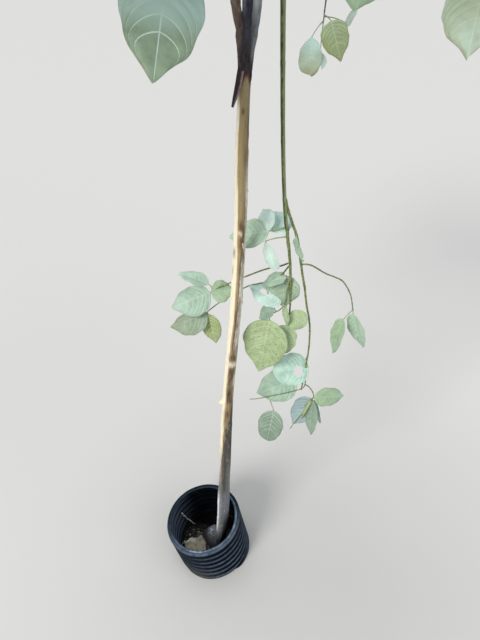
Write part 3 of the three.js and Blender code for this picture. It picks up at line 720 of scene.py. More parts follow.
    # a shred of dark bark hangs down on the left below the torn edge
    shred = Geo()
    P = spline([(63.2, -4.6, 1086), (61.6, -7.6, 1077), (59.6, -9.6, 1068), (56.6, -9.6, 1057), (52.9, -8.4, 1045)], 26)
    w = np.interp(np.linspace(0, 1, 26), [0, 0.25, 0.55, 0.8, 1], [7.6, 8.0, 7.2, 5.4, 3.0])

    def shred_tint(V, t):
        c = mixc(np.broadcast_to(col(52, 42, 48), V.shape), col(156, 130, 130), smooth(-0.1, -0.75, t * 1.0))
        return mixc(c, col(30, 26, 32), smooth(0.0, 0.4, fbm(V[:, 0] / 1.5, V[:, 1] / 1.5, V[:, 2] / 5.0, 3, 67)) * 0.6)

    ribbon(shred, P, w, 1.1, (-0.35, -0.94, 0.1), 9, shred_tint, 0.10)
    # two small peels at the right edge and one half way
    for z0, d0, length, wide in ((951, 332, 9, 3.2), (921, 322, 8, 2.8), (776, 336, 15, 3.0), (868, 300, 7, 3.0)):
        rr = float(trunk_radius(np.array([float(z0)]), np.array([float(d0)]))[0])
        o = np.array([math.cos(d0 * RAD), math.sin(d0 * RAD), 0.0])
        c0 = np.array([float(station(z0, 1)), float(station(z0, 2)), float(z0)])
        P = spline([c0 + o * (rr - 0.3), c0 + o * (rr + 0.5) - np.array([0, 0, length * 0.5]), c0 + o * (rr + 1.9) - np.array([0, 0, length])], 12)
        ribbon(shred, P, np.linspace(wide, wide * 0.5, 12), 0.7, o, 5, lambda V, t: np.broadcast_to(col(206, 192, 164), V.shape), 0.08)
    for block in (shred,):
        n0 = geo.n
        for v in block.v:
            flags.append(np.ones(len(v)))
        off = geo.n
        geo.v += block.v
        geo.tint += block.tint
        geo.q += [x + off for x in block.q]
        geo.mq += block.mq
        geo.n += block.n
    return geo.make("trunk_wood", [MAT_STEM], {"bark": np.concatenate(flags)})


# ------------------------------------------------------------------ limbs

LIMBS = [
    ("limb_left", (58.8, 0, FORK), 188, 4, (-215, -35, 1570), 190, 48, (9.8, 5.6), 0.4),
    ("limb_leader", (69, 0, FORK), 60, 2, (97, 36, 1920), 80, 2, (10.6, 5.6), 0.4),
    ("limb_right", (79.4, 0, FORK), -5, 4, (350, -28, 1560), -8, 50, (9.9, 5.6), 0.4),
    ("bough_front", ("limb_leader", 0.3), -88, 42, (76, -290, 1505), -92, 74, (6.4, 4), 0.4),
    ("bough_back", ("limb_leader", 0.3), 94, 42, (66, 300, 1525), 92, 74, (6.4, 4), 0.4),
    ("bough_left_front", ("limb_left", 0.42), 244, 46, (-190, -285, 1405), 232, 92, (5.6, 3.6), 0.4),
    ("bough_left_back", ("limb_left", 0.42), 120, 46, (-205, 240, 1415), 138, 90, (5.6, 3.6), 0.4),
    ("bough_right_front", ("limb_right", 0.42), -64, 46, (325, -285, 1395), -50, 92, (5.6, 3.6), 0.4),
    ("bough_right_back", ("limb_right", 0.42), 62, 46, (335, 250, 1405), 44, 90, (5.6, 3.6), 0.4),
    ("bough_upper_left", ("limb_leader", 0.56), 172, 40, (-95, 65, 1790), 168, 74, (5.2, 3.4), 0.4),
    ("bough_upper_right", ("limb_leader", 0.56), -8, 40, (280, 5, 1770), -12, 74, (5.2, 3.4), 0.4),
    ("bough_upper_front", ("limb_leader", 0.7), -96, 38, (84, -205, 1800), -94, 70, (4.8, 3.2), 0.4),
    ("bough_upper_back", ("limb_leader", 0.7), 84, 38, (112, 255, 1815), 86, 70, (4.8, 3.2), 0.4),
    ("bough_low_left", ("limb_left", 0.2), 215, 50, (-12, -98, 1195), 250, 158, (4.4, 3.2), 0.4),
    ("bough_low_right", ("limb_right", 0.3), -40, 58, (238, -38, 1200), -20, 150, (4.4, 3.2), 0.4),
    ("bough_low_back", ("bough_right_back", 0.4), 95, 78, (207, 366, 1130), 80, 168, (4.2, 3), 0.4),
    ("bough_arch", ("limb_right", 0.16), 40, 20, (94, 28, 1300), 40, 88, (7.4, 6.8), 0.4),
    ("bough_hanging", (94.5, 28.4, 1300), 40, 92, (129, 31, 872), 0, 172, (6.8, 5.4), 0.04),
]

MASSES = {
    "foliage_top": ((97, 38, 1968), (150, 140, 148), 20),
    "foliage_upper_left": ((-112, 72, 1795), (148, 132, 84), -12),
    "foliage_upper_right": ((298, 0, 1772), (144, 132, 84), 14),
    "foliage_upper_front": ((84, -228, 1800), (134, 116, 78), 5),
    "foliage_upper_back": ((114, 282, 1812), (140, 118, 82), -8),
    "foliage_left": ((-262, -42, 1580), (176, 150, 94), 8),
    "foliage_right": ((398, -34, 1566), (170, 150, 94), -6),
    "foliage_front": ((76, -318, 1512), (172, 146, 86), 0),
    "foliage_back": ((64, 328, 1532), (178, 150, 92), 6),
    "foliage_left_front": ((-214, -312, 1402), (136, 124, 74), 32),
    "foliage_left_back": ((-228, 262, 1412), (142, 130, 78), -35),
    "foliage_right_front": ((352, -308, 1392), (134, 124, 74), -30),
    "foliage_right_back": ((360, 274, 1402), (142, 130, 78), 30),
    "foliage_low_left": ((-12, -100, 1166), (64, 56, 94), 10),
    "foliage_low_right": ((240, -40, 1184), (92, 66, 80), -6),
    "foliage_low_back": ((218, 366, 1108), (66, 56, 100), 0),
}


def heading(az, lean):
    return np.array([math.sin(lean * RAD) * math.cos(az * RAD), math.sin(lean * RAD) * math.sin(az * RAD), math.cos(lean * RAD)])


PATHS = {}


def lay_paths():
    for name, start, az, lean, end, az2, lean2, d, bend in LIMBS:
        if isinstance(start[0], str):
            parent = PATHS[start[0]]["ctrl"]
            t = start[1]
            s = (1 - t) ** 3 * parent[0] + 3 * (1 - t) ** 2 * t * parent[1] + 3 * (1 - t) * t * t * parent[2] + t ** 3 * parent[3]
        else:
            s = np.array(start, float)
        e = np.array(end, float)
        reach = float(np.linalg.norm(e - s))
        ctrl = (s, s + heading(az, lean) * reach * bend, e - heading(az2, lean2) * reach * 0.34, e)
        P = bezier(*ctrl, 200)
        PATHS[name] = {"ctrl": ctrl, "P": P, "d": d}


lay_paths()


def into_mass(name, p, grow=1.0):
    """Distance from a mass's middle: 1 is its surface."""
    c, r, turn = MASSES[name]
    d = np.asarray(p, float) - np.array(c, float)
    a = -turn * RAD
    x = d[..., 0] * math.cos(a) - d[..., 1] * math.sin(a)
    y = d[..., 0] * math.sin(a) + d[..., 1] * math.cos(a)
    return np.sqrt((x / r[0]) ** 2 + (y / r[1]) ** 2 + (d[..., 2] / r[2]) ** 2) / (0.96 * grow)


def wiggle(P, amp, wave, seed):
    """Small wanderings of a stem, none at its start."""
    T, S, U = frames(P)
    s = np.concatenate([[0], np.cumsum(np.linalg.norm(np.diff(P, axis=0), axis=1))])
    k = smooth(0, 40, s)
    return P + S * (amp * k * fbm(s / wave, 0.3, 0.7, 3, seed))[:, None] + U * (amp * k * fbm(s / wave, 5.3, 2.7, 3, seed + 5))[:, None]


def swollen(s, every, seed, size=0.14, wide=2.4):
    """Rings at the nodes of a stem."""
    f = np.ones_like(s)
    r = random.Random(seed)
    at = every * r.uniform(0.4, 0.9)
    while at < s[-1]:
        f += size * np.exp(-((s - at) / wide) ** 2)
        at += every * r.uniform(0.75, 1.25)
    return f


LIMB_TINTS = {
    # middle, dark, light, the flank that is painted paler as if lit from that side (degrees) and its colour
    "limb_left": ((110, 92, 80), (74, 62, 58), (142, 126, 112), 150, (116, 96, 86)),
    "limb_leader": ((68, 70, 88), (42, 42, 54), (96, 100, 116), 195, (150, 156, 166)),
    "limb_right": ((120, 128, 134), (88, 92, 100), (146, 152, 156), 220, (178, 184, 180)),
}


def limb_relief(seed, amp=0.22):
    def f(V, r):
        return amp * fbm(V[..., 0] / 2.2, V[..., 1] / 2.2, V[..., 2] / 6.0, 4, seed) + amp * 0.9 * fbm(V[..., 0] / 9, V[..., 1] / 9, V[..., 2] / 11.0, 2, seed + 3)
    return f


def limb_tint(cols, seed, green=False):
    base, dark, light = (np.array(lin(*c)) for c in cols[:3])
    def f(V, N):
        fine = 2.0 if green else 3.5
        n = fbm(V[:, 0] / fine, V[:, 1] / fine, V[:, 2] / (fine * 2.6), 4, seed)
        k = smooth(0.0, 0.5, n)[:, None]
        j = smooth(0.0, 0.5, -n)[:, None]
        C = base * (1 - k) * (1 - j) + light * k + dark * j
        if len(cols) > 3:
            a = cols[3] * RAD
            # painted light: the flank that faces the given direction is made paler
            painted_lit_flank = smooth(0.25, 0.85, N[:, 0] * math.cos(a) + N[:, 1] * math.sin(a) + 0.25 * n)[:, None]
            if not green:
                painted_lit_flank = painted_lit_flank * smooth(1118, 1150, V[:, 2])[:, None]
            C = C * (1 - 0.8 * painted_lit_flank) + np.array(lin(*cols[4])) * 0.8 * painted_lit_flank
        # lenticels: small pale dots
        dots = smooth(0.52, 0.66, fbm(V[:, 0] / 1.3, V[:, 1] / 1.3, V[:, 2] / 1.3, 2, seed + 9))[:, None]
        C = C * (1 - 0.5 * dots) + light * 0.5 * dots
        # near the fork each stem still has the trunk's dark bark on its inner side
        near = smooth(1152, 1118, V[:, 2] + 14 * n)
        inner = smooth(12.5, 6.0, abs(V[:, 0] - 69))
        t = (near * inner * 0.85)[:, None]
        if not green:
            C = C * (1 - t) + np.array(lin(46, 42, 54)) * t
        return C
    return f


def build_limbs():
    bark_geo = Geo()
    for i, (name, *_rest) in enumerate(LIMBS):
        info = PATHS[name]
        P = info["P"]
        d0, d1 = info["d"]
        green = name in ("bough_arch", "bough_hanging")
        main = name.startswith("limb")
        if main:
            # the stem starts inside the trunk, below the fork
            x0 = P[0][0]
            lead = [(69 + (x0 - 69) * k, 0, z) for k, z in ((0.0, 1084), (0.22, 1102), (0.58, 1117))]
            away = P[(P[:, 2] > FORK + 9)]
            P = np.concatenate([spline([*lead, tuple(away[0]), tuple(away[6])], 40), away[7:]])
        P, s = resample(P, 2.4)
        if name != "bough_hanging":
            P = wiggle(P, 3.2 if not main else 2.4, 60.0, 300 + i)
        frac = s / s[-1]
        R = (d0 + (d1 - d0) * frac) / 2
        if main:
            R = R * (1 + 0.16 * np.exp(-((s - 30) / 26) ** 2))
        else:
            R = R * (1 + 0.55 * np.exp(-(s / 7.0) ** 1.5))
        R = R * swollen(s, 74 if not green else 88, 70 + i, 0.15 if not green else 0.10)
        cols = LIMB_TINTS.get(name, ((122, 116, 100), (84, 76, 64), (158, 152, 132)))
        if green:
            # the green stems too get a paler painted lit flank
            cols = ((72, 86, 48), (48, 58, 32), (96, 110, 66), -35, (150, 158, 112))
        tube(bark_geo, P, R, 18 if main else 14, 0, limb_tint(cols, 400 + 7 * i, green), limb_relief(500 + i, 0.24 if main else 0.13))
        info["P2"] = P
        info["s"] = s
    n = bark_geo.n
    return bark_geo.make("limbs_and_boughs", [MAT_STEM], {"bark": np.ones(n)})


# ------------------------------------------------------------------ leaves

VEINS = (0.04, 0.11, 0.20, 0.31, 0.44, 0.59)
_templates = {}


def leaf_template(fine):
    """Lines that follow the arching side veins, as start places along the midrib."""
    if fine in _templates:
        return _templates[fine]
    lines = [(0.0, 0.0)]  # place on the midrib, which side of a vein (-1, 0, 1)
    prev = 0.0
    for v in VEINS:
        for k in range(1, fine + 1):
            f = k / (fine + 1)
            lines.append((prev + (v - prev) * f, 0))
        lines.append((v, -1))
        lines.append((v, 1))
        prev = v
    for k in range(1, fine + 2):
        lines.append((prev + (0.975 - prev) * k / (fine + 1), 0))
    cols = 4 if fine < 2 else (7 if fine < 3 else 12)
    t = np.linspace(0, 1, cols) ** 0.95
    _templates[fine] = (np.array([a for a, _ in lines]), np.array([b for _, b in lines]), t)
    return _templates[fine]


_U = np.linspace(0, 1, 400)
OUTLINES = {
    "oval": _U ** 0.55 * (1 - _U) ** 0.80 * (1 - 0.35 * smooth(0.72, 0.98, _U)),
    "round": _U ** 0.50 * (1 - _U) ** 0.52 * (1 - 0.25 * smooth(0.88, 1.0, _U)),
    "obovate": _U ** 0.85 * (1 - _U) ** 0.50,
}
OUTLINES = {k: v / v.max() for k, v in OUTLINES.items()}


class Leaves:
    def __init__(self):
        self.geo = Geo()
        self.number = 0

    def add(self, base, tip_dir, normal, L, W, slot, bend=20, fold=8, twist=0, wave=1.0, fine=1, hole=None, curl=0.0, shape="oval", lr=1.0, tone=None):
        self.number += 1
        r = random.Random(9000 + self.number)
        slots, sides, t = leaf_template(fine)
        S = slots[:, None] * np.ones(len(t))[None, :]
        T = t[None, :] * np.ones(len(slots))[:, None]
        # a vein is a narrow band that thins towards the margin
        half = 0.0105 * (1 - 0.66 * T) * (60.0 / max(40.0, L)) ** 0.5
        S = np.clip(S + sides[:, None] * half, 0, 0.985)
        along = np.minimum(0.996, S + (1 - S) * np.minimum(0.97, 0.47 + 0.62 * S) * T ** 1.2)
        k = 1.9 + 30 * np.exp(-S / 0.03)
        g = 1 - (1 - T) ** k
        rib = (0.62 * (1 - along) ** 0.6 + 0.12) * (0.75 + L / 200.0)
        hw = np.interp(along, _U, OUTLINES[shape]) * W / 2
        # the margin is never quite regular
        ph = r.uniform(0, 6)
        hw = hw * (1 + 0.03 * np.sin(along * 9 + ph) + 0.02 * np.sin(along * 23 + ph * 2))
        # pillows between the veins, which are pressed into the upper side
        edges = np.array([0.0, *VEINS, 0.99])
        idx = np.clip(np.searchsorted(edges, S, side="right") - 1, 0, len(edges) - 2)
        fr = (S - edges[idx]) / (edges[idx + 1] - edges[idx])
        pillow = np.sin(np.clip(fr, 0, 1) * math.pi) * np.sqrt(np.clip(4 * T * (1 - T) + 0.15 * T, 0, 1)) * (W / 60) * 1.25
        x = along * L
        out = []
        for sgn in (1, -1):
            h2 = hw * (lr if sgn > 0 else 2 - lr)
            across = rib + np.maximum(0, h2 - rib) * g
            q1 = r.uniform(0, 6.28)
            wv = wave * W * (0.040 * np.sin(2 * math.pi * 1.35 * along + q1) + 0.022 * np.sin(2 * math.pi * 3.1 * along + q1 * 1.7)) * T ** 1.8
            droop = -curl * T ** 2 * W * (0.10 + 0.05 * math.sin(q1))
            z = pillow + wv + droop
            f = (fold + (3 if sgn > 0 else -3) + 4 * math.sin(q1 * 3)) * RAD
            zz = z * math.cos(f) + (across - rib) * math.sin(f)
            out.append((x, sgn * (rib + (across - rib) * math.cos(f)), zz))
        # bend the whole blade down along its length, and twist it
        n = 24
        u = np.linspace(0, 1, n)
        ang = -bend * RAD * (u ** 1.25) + bend * 0.35 * RAD
        cx = np.concatenate([[0], np.cumsum(np.cos((ang[1:] + ang[:-1]) / 2) * L / (n - 1))])
        cz = np.concatenate([[0], np.cumsum(np.sin((ang[1:] + ang[:-1]) / 2) * L / (n - 1))])
        # the chord keeps the wanted direction and length
        chord = math.atan2(cz[-1], cx[-1])
        scale = L / math.hypot(cz[-1], cx[-1])
        cx, cz = cx * scale, cz * scale
        ca, sa = math.cos(-chord), math.sin(-chord)
        rows, nc = len(slots), len(t)
        verts = []
        for x_, y_, z_ in out:
            uu = np.clip(x_ / L, 0, 1)
            A = np.interp(uu, u, ang)
            tw = twist * RAD * uu
            y2 = y_ * np.cos(tw) - z_ * np.sin(tw)
            z2 = y_ * np.sin(tw) + z_ * np.cos(tw)
            px = np.interp(uu, u, cx) - np.sin(A) * z2
            pz = np.interp(uu, u, cz) + np.cos(A) * z2
            verts.append(np.stack([px * ca - pz * sa, y2, px * sa + pz * ca], -1).reshape(-1, 3))
        tip = np.array([[L, 0.0, 0.0]])
        V = np.concatenate([*verts, tip])
        a = unit(tip_dir)
        nrm = np.asarray(normal, float)
        nrm = unit(nrm - (nrm @ a) * a)
        b = np.cross(nrm, a)
        V = np.asarray(base, float) + V[:, :1] * a + V[:, 1:2] * b + V[:, 2:3] * nrm
        m = rows * nc
        si = LEAF_SLOTS.index(slot)
        vi = si + len(LEAF_SLOTS)
        quads, mats, mids = [], [], []
        i = np.arange(rows - 1)
        is_vein = (sides[:-1] == -1) & (sides[1:] == 1)
        for half_i, off in ((0, 0), (1, m)):
            for j in range(nc - 1):
                a0 = off + i * nc + j
                a1 = a0 + nc
                q = np.stack([a0, a1, a1 + 1, a0 + 1], -1) if half_i else np.stack([a0, a0 + 1, a1 + 1, a1], -1)
                quads.append(q)
                mats.append(np.where(is_vein & (t[j + 1] < 0.97), vi, si))
                mids.append(np.stack([(along[:-1, j] + along[1:, j + 1]) / 2, ((hw[:-1, j] * g[:-1, j] + hw[1:, j + 1] * g[1:, j + 1]) / 2) * (1 if half_i == 0 else -1)], -1))
        # the midrib joins the two halves
        q = np.stack([i * nc, i * nc + nc, m + i * nc + nc, m + i * nc], -1)
        quads.append(q)
        mats.append(np.full(rows - 1, vi))
        mids.append(np.stack([along[:-1, 0], 0 * along[:-1, 0]], -1))
        Q = np.concatenate(quads)
        M = np.concatenate(mats)
        C = np.concatenate(mids)
        if hole is not None:
            hx, hy, hr, hr2 = hole
            d = np.sqrt(((C[:, 0] - hx) * L / hr) ** 2 + ((C[:, 1] - hy * W) / hr2) ** 2)
            ang_ = np.arctan2(C[:, 1] - hy * W, (C[:, 0] - hx) * L)
            keep = d > 1
            gone = np.unique(Q[~keep])
            Q, M = Q[keep], M[keep]
            edge_v = np.intersect1d(gone, np.unique(Q))
            vx = np.concatenate([along.ravel(), along.ravel()])[edge_v]
            vy = np.concatenate([(hw * g).ravel(), -(hw * g).ravel()])[edge_v]
            ex, ey = (vx - hx) * L / hr, (vy - hy * W) / hr2
            turn_ = np.arctan2(ey, ex)
            goal = 1 + 0.07 * np.sin(2 * turn_ + ph) + 0.06 * np.sin(5 * turn_)
            move = (goal / np.maximum(0.2, np.hypot(ex, ey)) - 1)[:, None]
            V[edge_v] += move * (ex[:, None] * hr * a + ey[:, None] * hr2 * b)
        last = (rows - 1) * nc
        tip_i = len(V) - 1
        tris = []
        for j in range(nc - 1):
            tris.append((last + j, last + j + 1, tip_i))
            tris.append((m + last + j + 1, m + last + j, tip_i))
        tris.append((m + last, last, tip_i))
        if tone is None:
            tone = (r.uniform(0, 0.30), r.uniform(0, 0.22), r.uniform(-0.1, 0.12), r.uniform(-0.1, 0.22))
        al = np.concatenate([along.ravel(), along.ravel(), [1.0]])
        sd = np.concatenate([T.ravel(), -T.ravel(), [0.0]])
        cloud = fbm(al * 2.2 + self.number, sd * 1.3, 0.4, 3, 33)
        # painted sky sheen, running from base to tip as given
        sky_sheen = (tone[0] + (tone[1] - tone[0]) * al + 0.07 * sd * math.sin(ph) + 0.16 * cloud) * (1 - 0.35 * abs(sd))
        warm = tone[2] + (tone[3] - tone[2]) * al ** 1.3 + 0.10 * abs(sd) - 0.05 + 0.20 * cloud
        tint = np.stack([np.clip(sky_sheen, 0, 1), np.clip(warm, 0, 1), 0 * al], -1)
        self.geo.add(V, Q, np.array(tris), M, si, tint)
        return V[-1]


def stalk(geo, base, node_at, r0=0.9, r1=0.7, mat=0, sag=0.0, toward=None):
    """A leaf stalk from its node to the blade's base."""
    a, b = np.asarray(node_at, float), np.asarray(base, float)
    L = float(np.linalg.norm(b - a))
    t = np.linspace(0, 1, 6)[:, None]
    mid = (a + b) / 2 + np.array([0, 0, L * 0.10 - sag])
    P = (1 - t) ** 2 * a + 2 * (1 - t) * t * mid + t * t * b
    R = r1 + (r0 - r1) * (1 - t[:, 0]) + 0.5 * np.exp(-(t[:, 0] / 0.12) ** 2)
    tube(geo, P, R, 6, mat)


def bud(geo, at, direction, size=4.0, mat=0):
    """A pointed bud: a short spindle."""
    d = unit(direction)
    prof = [(0.0, 0.28), (0.18, 0.5), (0.42, 0.56), (0.7, 0.34), (0.9, 0.12), (1.0, 0.03)]
    P = np.array([at + d * (size * 1.7 * u) for u, _ in prof])
    tube(geo, P, np.array([size * w for _, w in prof]), 7, mat)


class Growth:
    """Twigs, stalks and leaves for the masses, by one seeded rule."""

    def __init__(self):
        self.twigs = Geo()
        self.stalks = Geo()

    def twig(self, P, r0, r1, sides=7, mat=0, every=46, seed=1):
        P, s = resample(np.asarray(P, float), 3.2)
        P = wiggle(P, 1.3, 34.0, seed)
        R = (r0 + (r1 - r0) * (s / s[-1])) * swollen(s, every, seed, 0.22, 1.6)
        tube(self.twigs, P, R, sides, mat)
        return P, s


def pick(rng, table):
    x = rng.random() * sum(w for _, w in table)
    for k, w in table:
        x -= w
        if x <= 0:
            return k
    return table[-1][0]


CROWN_COLOURS = [("pale", 2.6), ("green", 3.6), ("mid", 2.4), ("grey", 1.6), ("lime", 1.6), ("white", 0.6), ("sage", 1.6), ("olive", 0.5)]


def leaf_at(leaves, growth, rng, p, out_dir, mass, family, droop, size=1.0, floor_z=None):
    """One stalk and blade at a node, kept inside its mass."""
    L = rng.uniform(78, 106) * size
    W = L * rng.uniform(0.60, 0.72)
    h = unit([out_dir[0], out_dir[1], 0]) if abs(out_dir[0]) + abs(out_dir[1]) > 1e-3 else np.array([1.0, 0, 0])
    lift = 0.5 * out_dir[2]
    limit = 1.12 + 0.16 * rng.random()
    for attempt in range(8):
        stalk_dir = unit(h * math.cos(0.25) + np.array([0, 0, 0.22 + lift]))
        base = p + stalk_dir * rng.uniform(10, 15)
        d = droop * RAD
        axis = unit(h * math.cos(d) + np.array([0, 0, -math.sin(d)]))
        tip = base + axis * L
        deep = float(into_mass(mass, tip))
        if not (-450 < tip[0] < 562 and -468 < tip[1] < 486 and tip[2] < 2110):
            deep = 9.0
        low = floor_z is not None and tip[2] < floor_z
        if deep < limit and not low:
            break
        if deep >= limit:
            L *= 0.93
            W *= 0.95
            droop = min(72, droop + 7) if not low else droop
        if low:
            droop = max(2, droop - 14)
            L *= 0.94
    up = unit(np.array([0, 0, 1.0]) - axis[2] * axis)
    roll = rng.gauss(0, 24) * RAD
    n = up * math.cos(roll) + np.cross(axis, up) * math.sin(roll)
    slot = family if rng.random() < 0.75 else pick(rng, CROWN_COLOURS)
    stalk(growth.stalks, base, p)
    leaves.add(base, axis, n, L, W, slot, bend=rng.uniform(16, 46), fold=rng.uniform(3, 16), twist=rng.gauss(0, 10), wave=rng.uniform(0.5, 1.5), curl=rng.uniform(0.2, 1.0))


def leafy(leaves, growth, rng, P, s, mass, family, pairs, floor_z=None):
    """Pairs of leaves crowded towards a twig's tip, each pair turned from the last."""
    T, S, U = frames(P)
    turn = rng.uniform(0, math.pi)
    total = s[-1]
    at = total - 2
    for k in range(pairs):
        if at < 10 and k:
            break
        i = int(np.argmin(abs(s - at)))
        a = turn + k * math.pi / 2
        for sgn in (0, math.pi):
            side = S[i] * math.cos(a + sgn) + U[i] * math.sin(a + sgn)
            out = unit(side + T[i] * rng.uniform(0.35, 0.7))
            leaf_at(leaves, growth, rng, P[i], out, mass, family, min(66, max(-14, rng.gauss(31, 18) - 22 * out[2])), rng.uniform(0.74, 1.04) * (1 - 0.05 * (k > 1)), floor_z)
        at -= rng.uniform(19, 34)
    bud(growth.twigs, P[-1], T[-1], rng.uniform(2.2, 3.4), 1)


def grow_mass(leaves, growth, mass, feeder, seed, count, floor_z=None):
    """The bough runs on as a leader; twigs leave it one after another, each for
    a free place in the mass, from the nearest stem that already points there."""
    rng = random.Random(seed)
    c, radii, _turn = MASSES[mass]
    c = np.array(c, float)
    F = PATHS[feeder]["P2"]
    end_r = PATHS[feeder]["d"][1] / 2
    T0 = unit(F[-1] - F[-8])
    up = np.array([0, 0, 1.0])
    away = np.array([c[0] - 80, c[1], 0.0])
    out = unit(away) if np.linalg.norm(away) > 60 else np.zeros(3)
    target = c + out * radii[0] * 0.42 + up * radii[2] * (0.30 if out.any() else 0.62)
    reach = float(np.linalg.norm(target - F[-1]))
    L = bezier(F[-1], F[-1] + T0 * reach * 0.4, target - unit(out * 0.8 + up * 0.45) * reach * 0.3, target, 40)
    L, ls = growth.twig(L, end_r, 1.3, 9, 0, 50, seed + 1)
    family = pick(rng, CROWN_COLOURS)
    leafy(leaves, growth, rng, L, ls, mass, family, 3, floor_z)
    inside = F[into_mass(mass, F) < 1.0]
    nodes = [(p, T0, end_r) for p in inside[::4]]
    tang = frames(L)[0]
    nodes += [(L[i], tang[i], end_r + (1.3 - end_r) * i / len(L)) for i in range(0, len(L), 3)]
    # places to fill
    spots = []
    tries = 0
    gap = 0.62 * (radii[0] * radii[1] * radii[2] / max(1, count)) ** (1 / 3) * 1.35
    while len(spots) < count and tries < 4000:
        tries += 1
        q = c + np.array([rng.uniform(-1, 1) * max(radii[:2]), rng.uniform(-1, 1) * max(radii[:2]), rng.uniform(-1, 1) * radii[2]])
        k = float(into_mass(mass, q))
        d = (q - c) / max(radii)
        most = 0.79 + 0.12 * float(d @ out) + 0.50 * float(fbm(d[0] * 1.9 + seed, d[1] * 1.9, d[2] * 2.4, 2, seed))
        if not 0.26 < k < most or (floor_z is not None and q[2] < floor_z + 20):
            continue
        if any(np.linalg.norm(q - o) < gap for o in spots):
            continue
        if rng.random() < 0.18 and floor_z is None:
            q = c + (q - c) * rng.uniform(1.08, 1.24)
        spots.append(q)
    spots.sort(key=lambda q: min(float(np.linalg.norm(q - p)) for p, _, _ in nodes))
    for n, q in enumerate(spots):
        best = None
        for p, t, rad in nodes:
            d = q - p
            dist = float(np.linalg.norm(d))
            if dist < 20:
                continue
            score = dist * (1 + 0.75 * (1 - float(d @ t) / dist))
            if best is None or score < best[0]:
                best = (score, p, t, rad, dist)
        if best is None:
            continue
        _, p, t, rad, dist = best
        d0 = unit(0.6 * t + (q - p) / dist)
        d1 = unit((q - p) / dist + up * 0.35 + np.array([rng.gauss(0, 0.12), rng.gauss(0, 0.12), 0]))
        path = bezier(p, p + d0 * dist * 0.38, q - d1 * dist * 0.34, q, 24)
        r0 = min(rad * 0.82, 1.15 + dist * 0.008)
        P, s = growth.twig(path, r0, 0.95, 7, 0, 42, seed * 7 + n)
        fam = family if rng.random() < 0.5 else pick(rng, CROWN_COLOURS)
        leafy(leaves, growth, rng, P, s, mass, fam, rng.choice((2, 3)) if dist > 50 else rng.choice((1, 2)), floor_z)
        tg = frames(P)[0]
        nodes += [(P[i], tg[i], r0 + (0.95 - r0) * i / len(P)) for i in range(3, len(P), 5)]


FEEDS = [
    ("foliage_top", "limb_leader"), ("foliage_left", "limb_left"), ("foliage_right", "limb_right"),
    ("foliage_front", "bough_front"), ("foliage_back", "bough_back"),
    ("foliage_left_front", "bough_left_front"), ("foliage_left_back", "bough_left_back"),
    ("foliage_right_front", "bough_right_front"), ("foliage_right_back", "bough_right_back"),
    ("foliage_upper_left", "bough_upper_left"), ("foliage_upper_right", "bough_upper_right"),
    ("foliage_upper_front", "bough_upper_front"), ("foliage_upper_back", "bough_upper_back"),
]

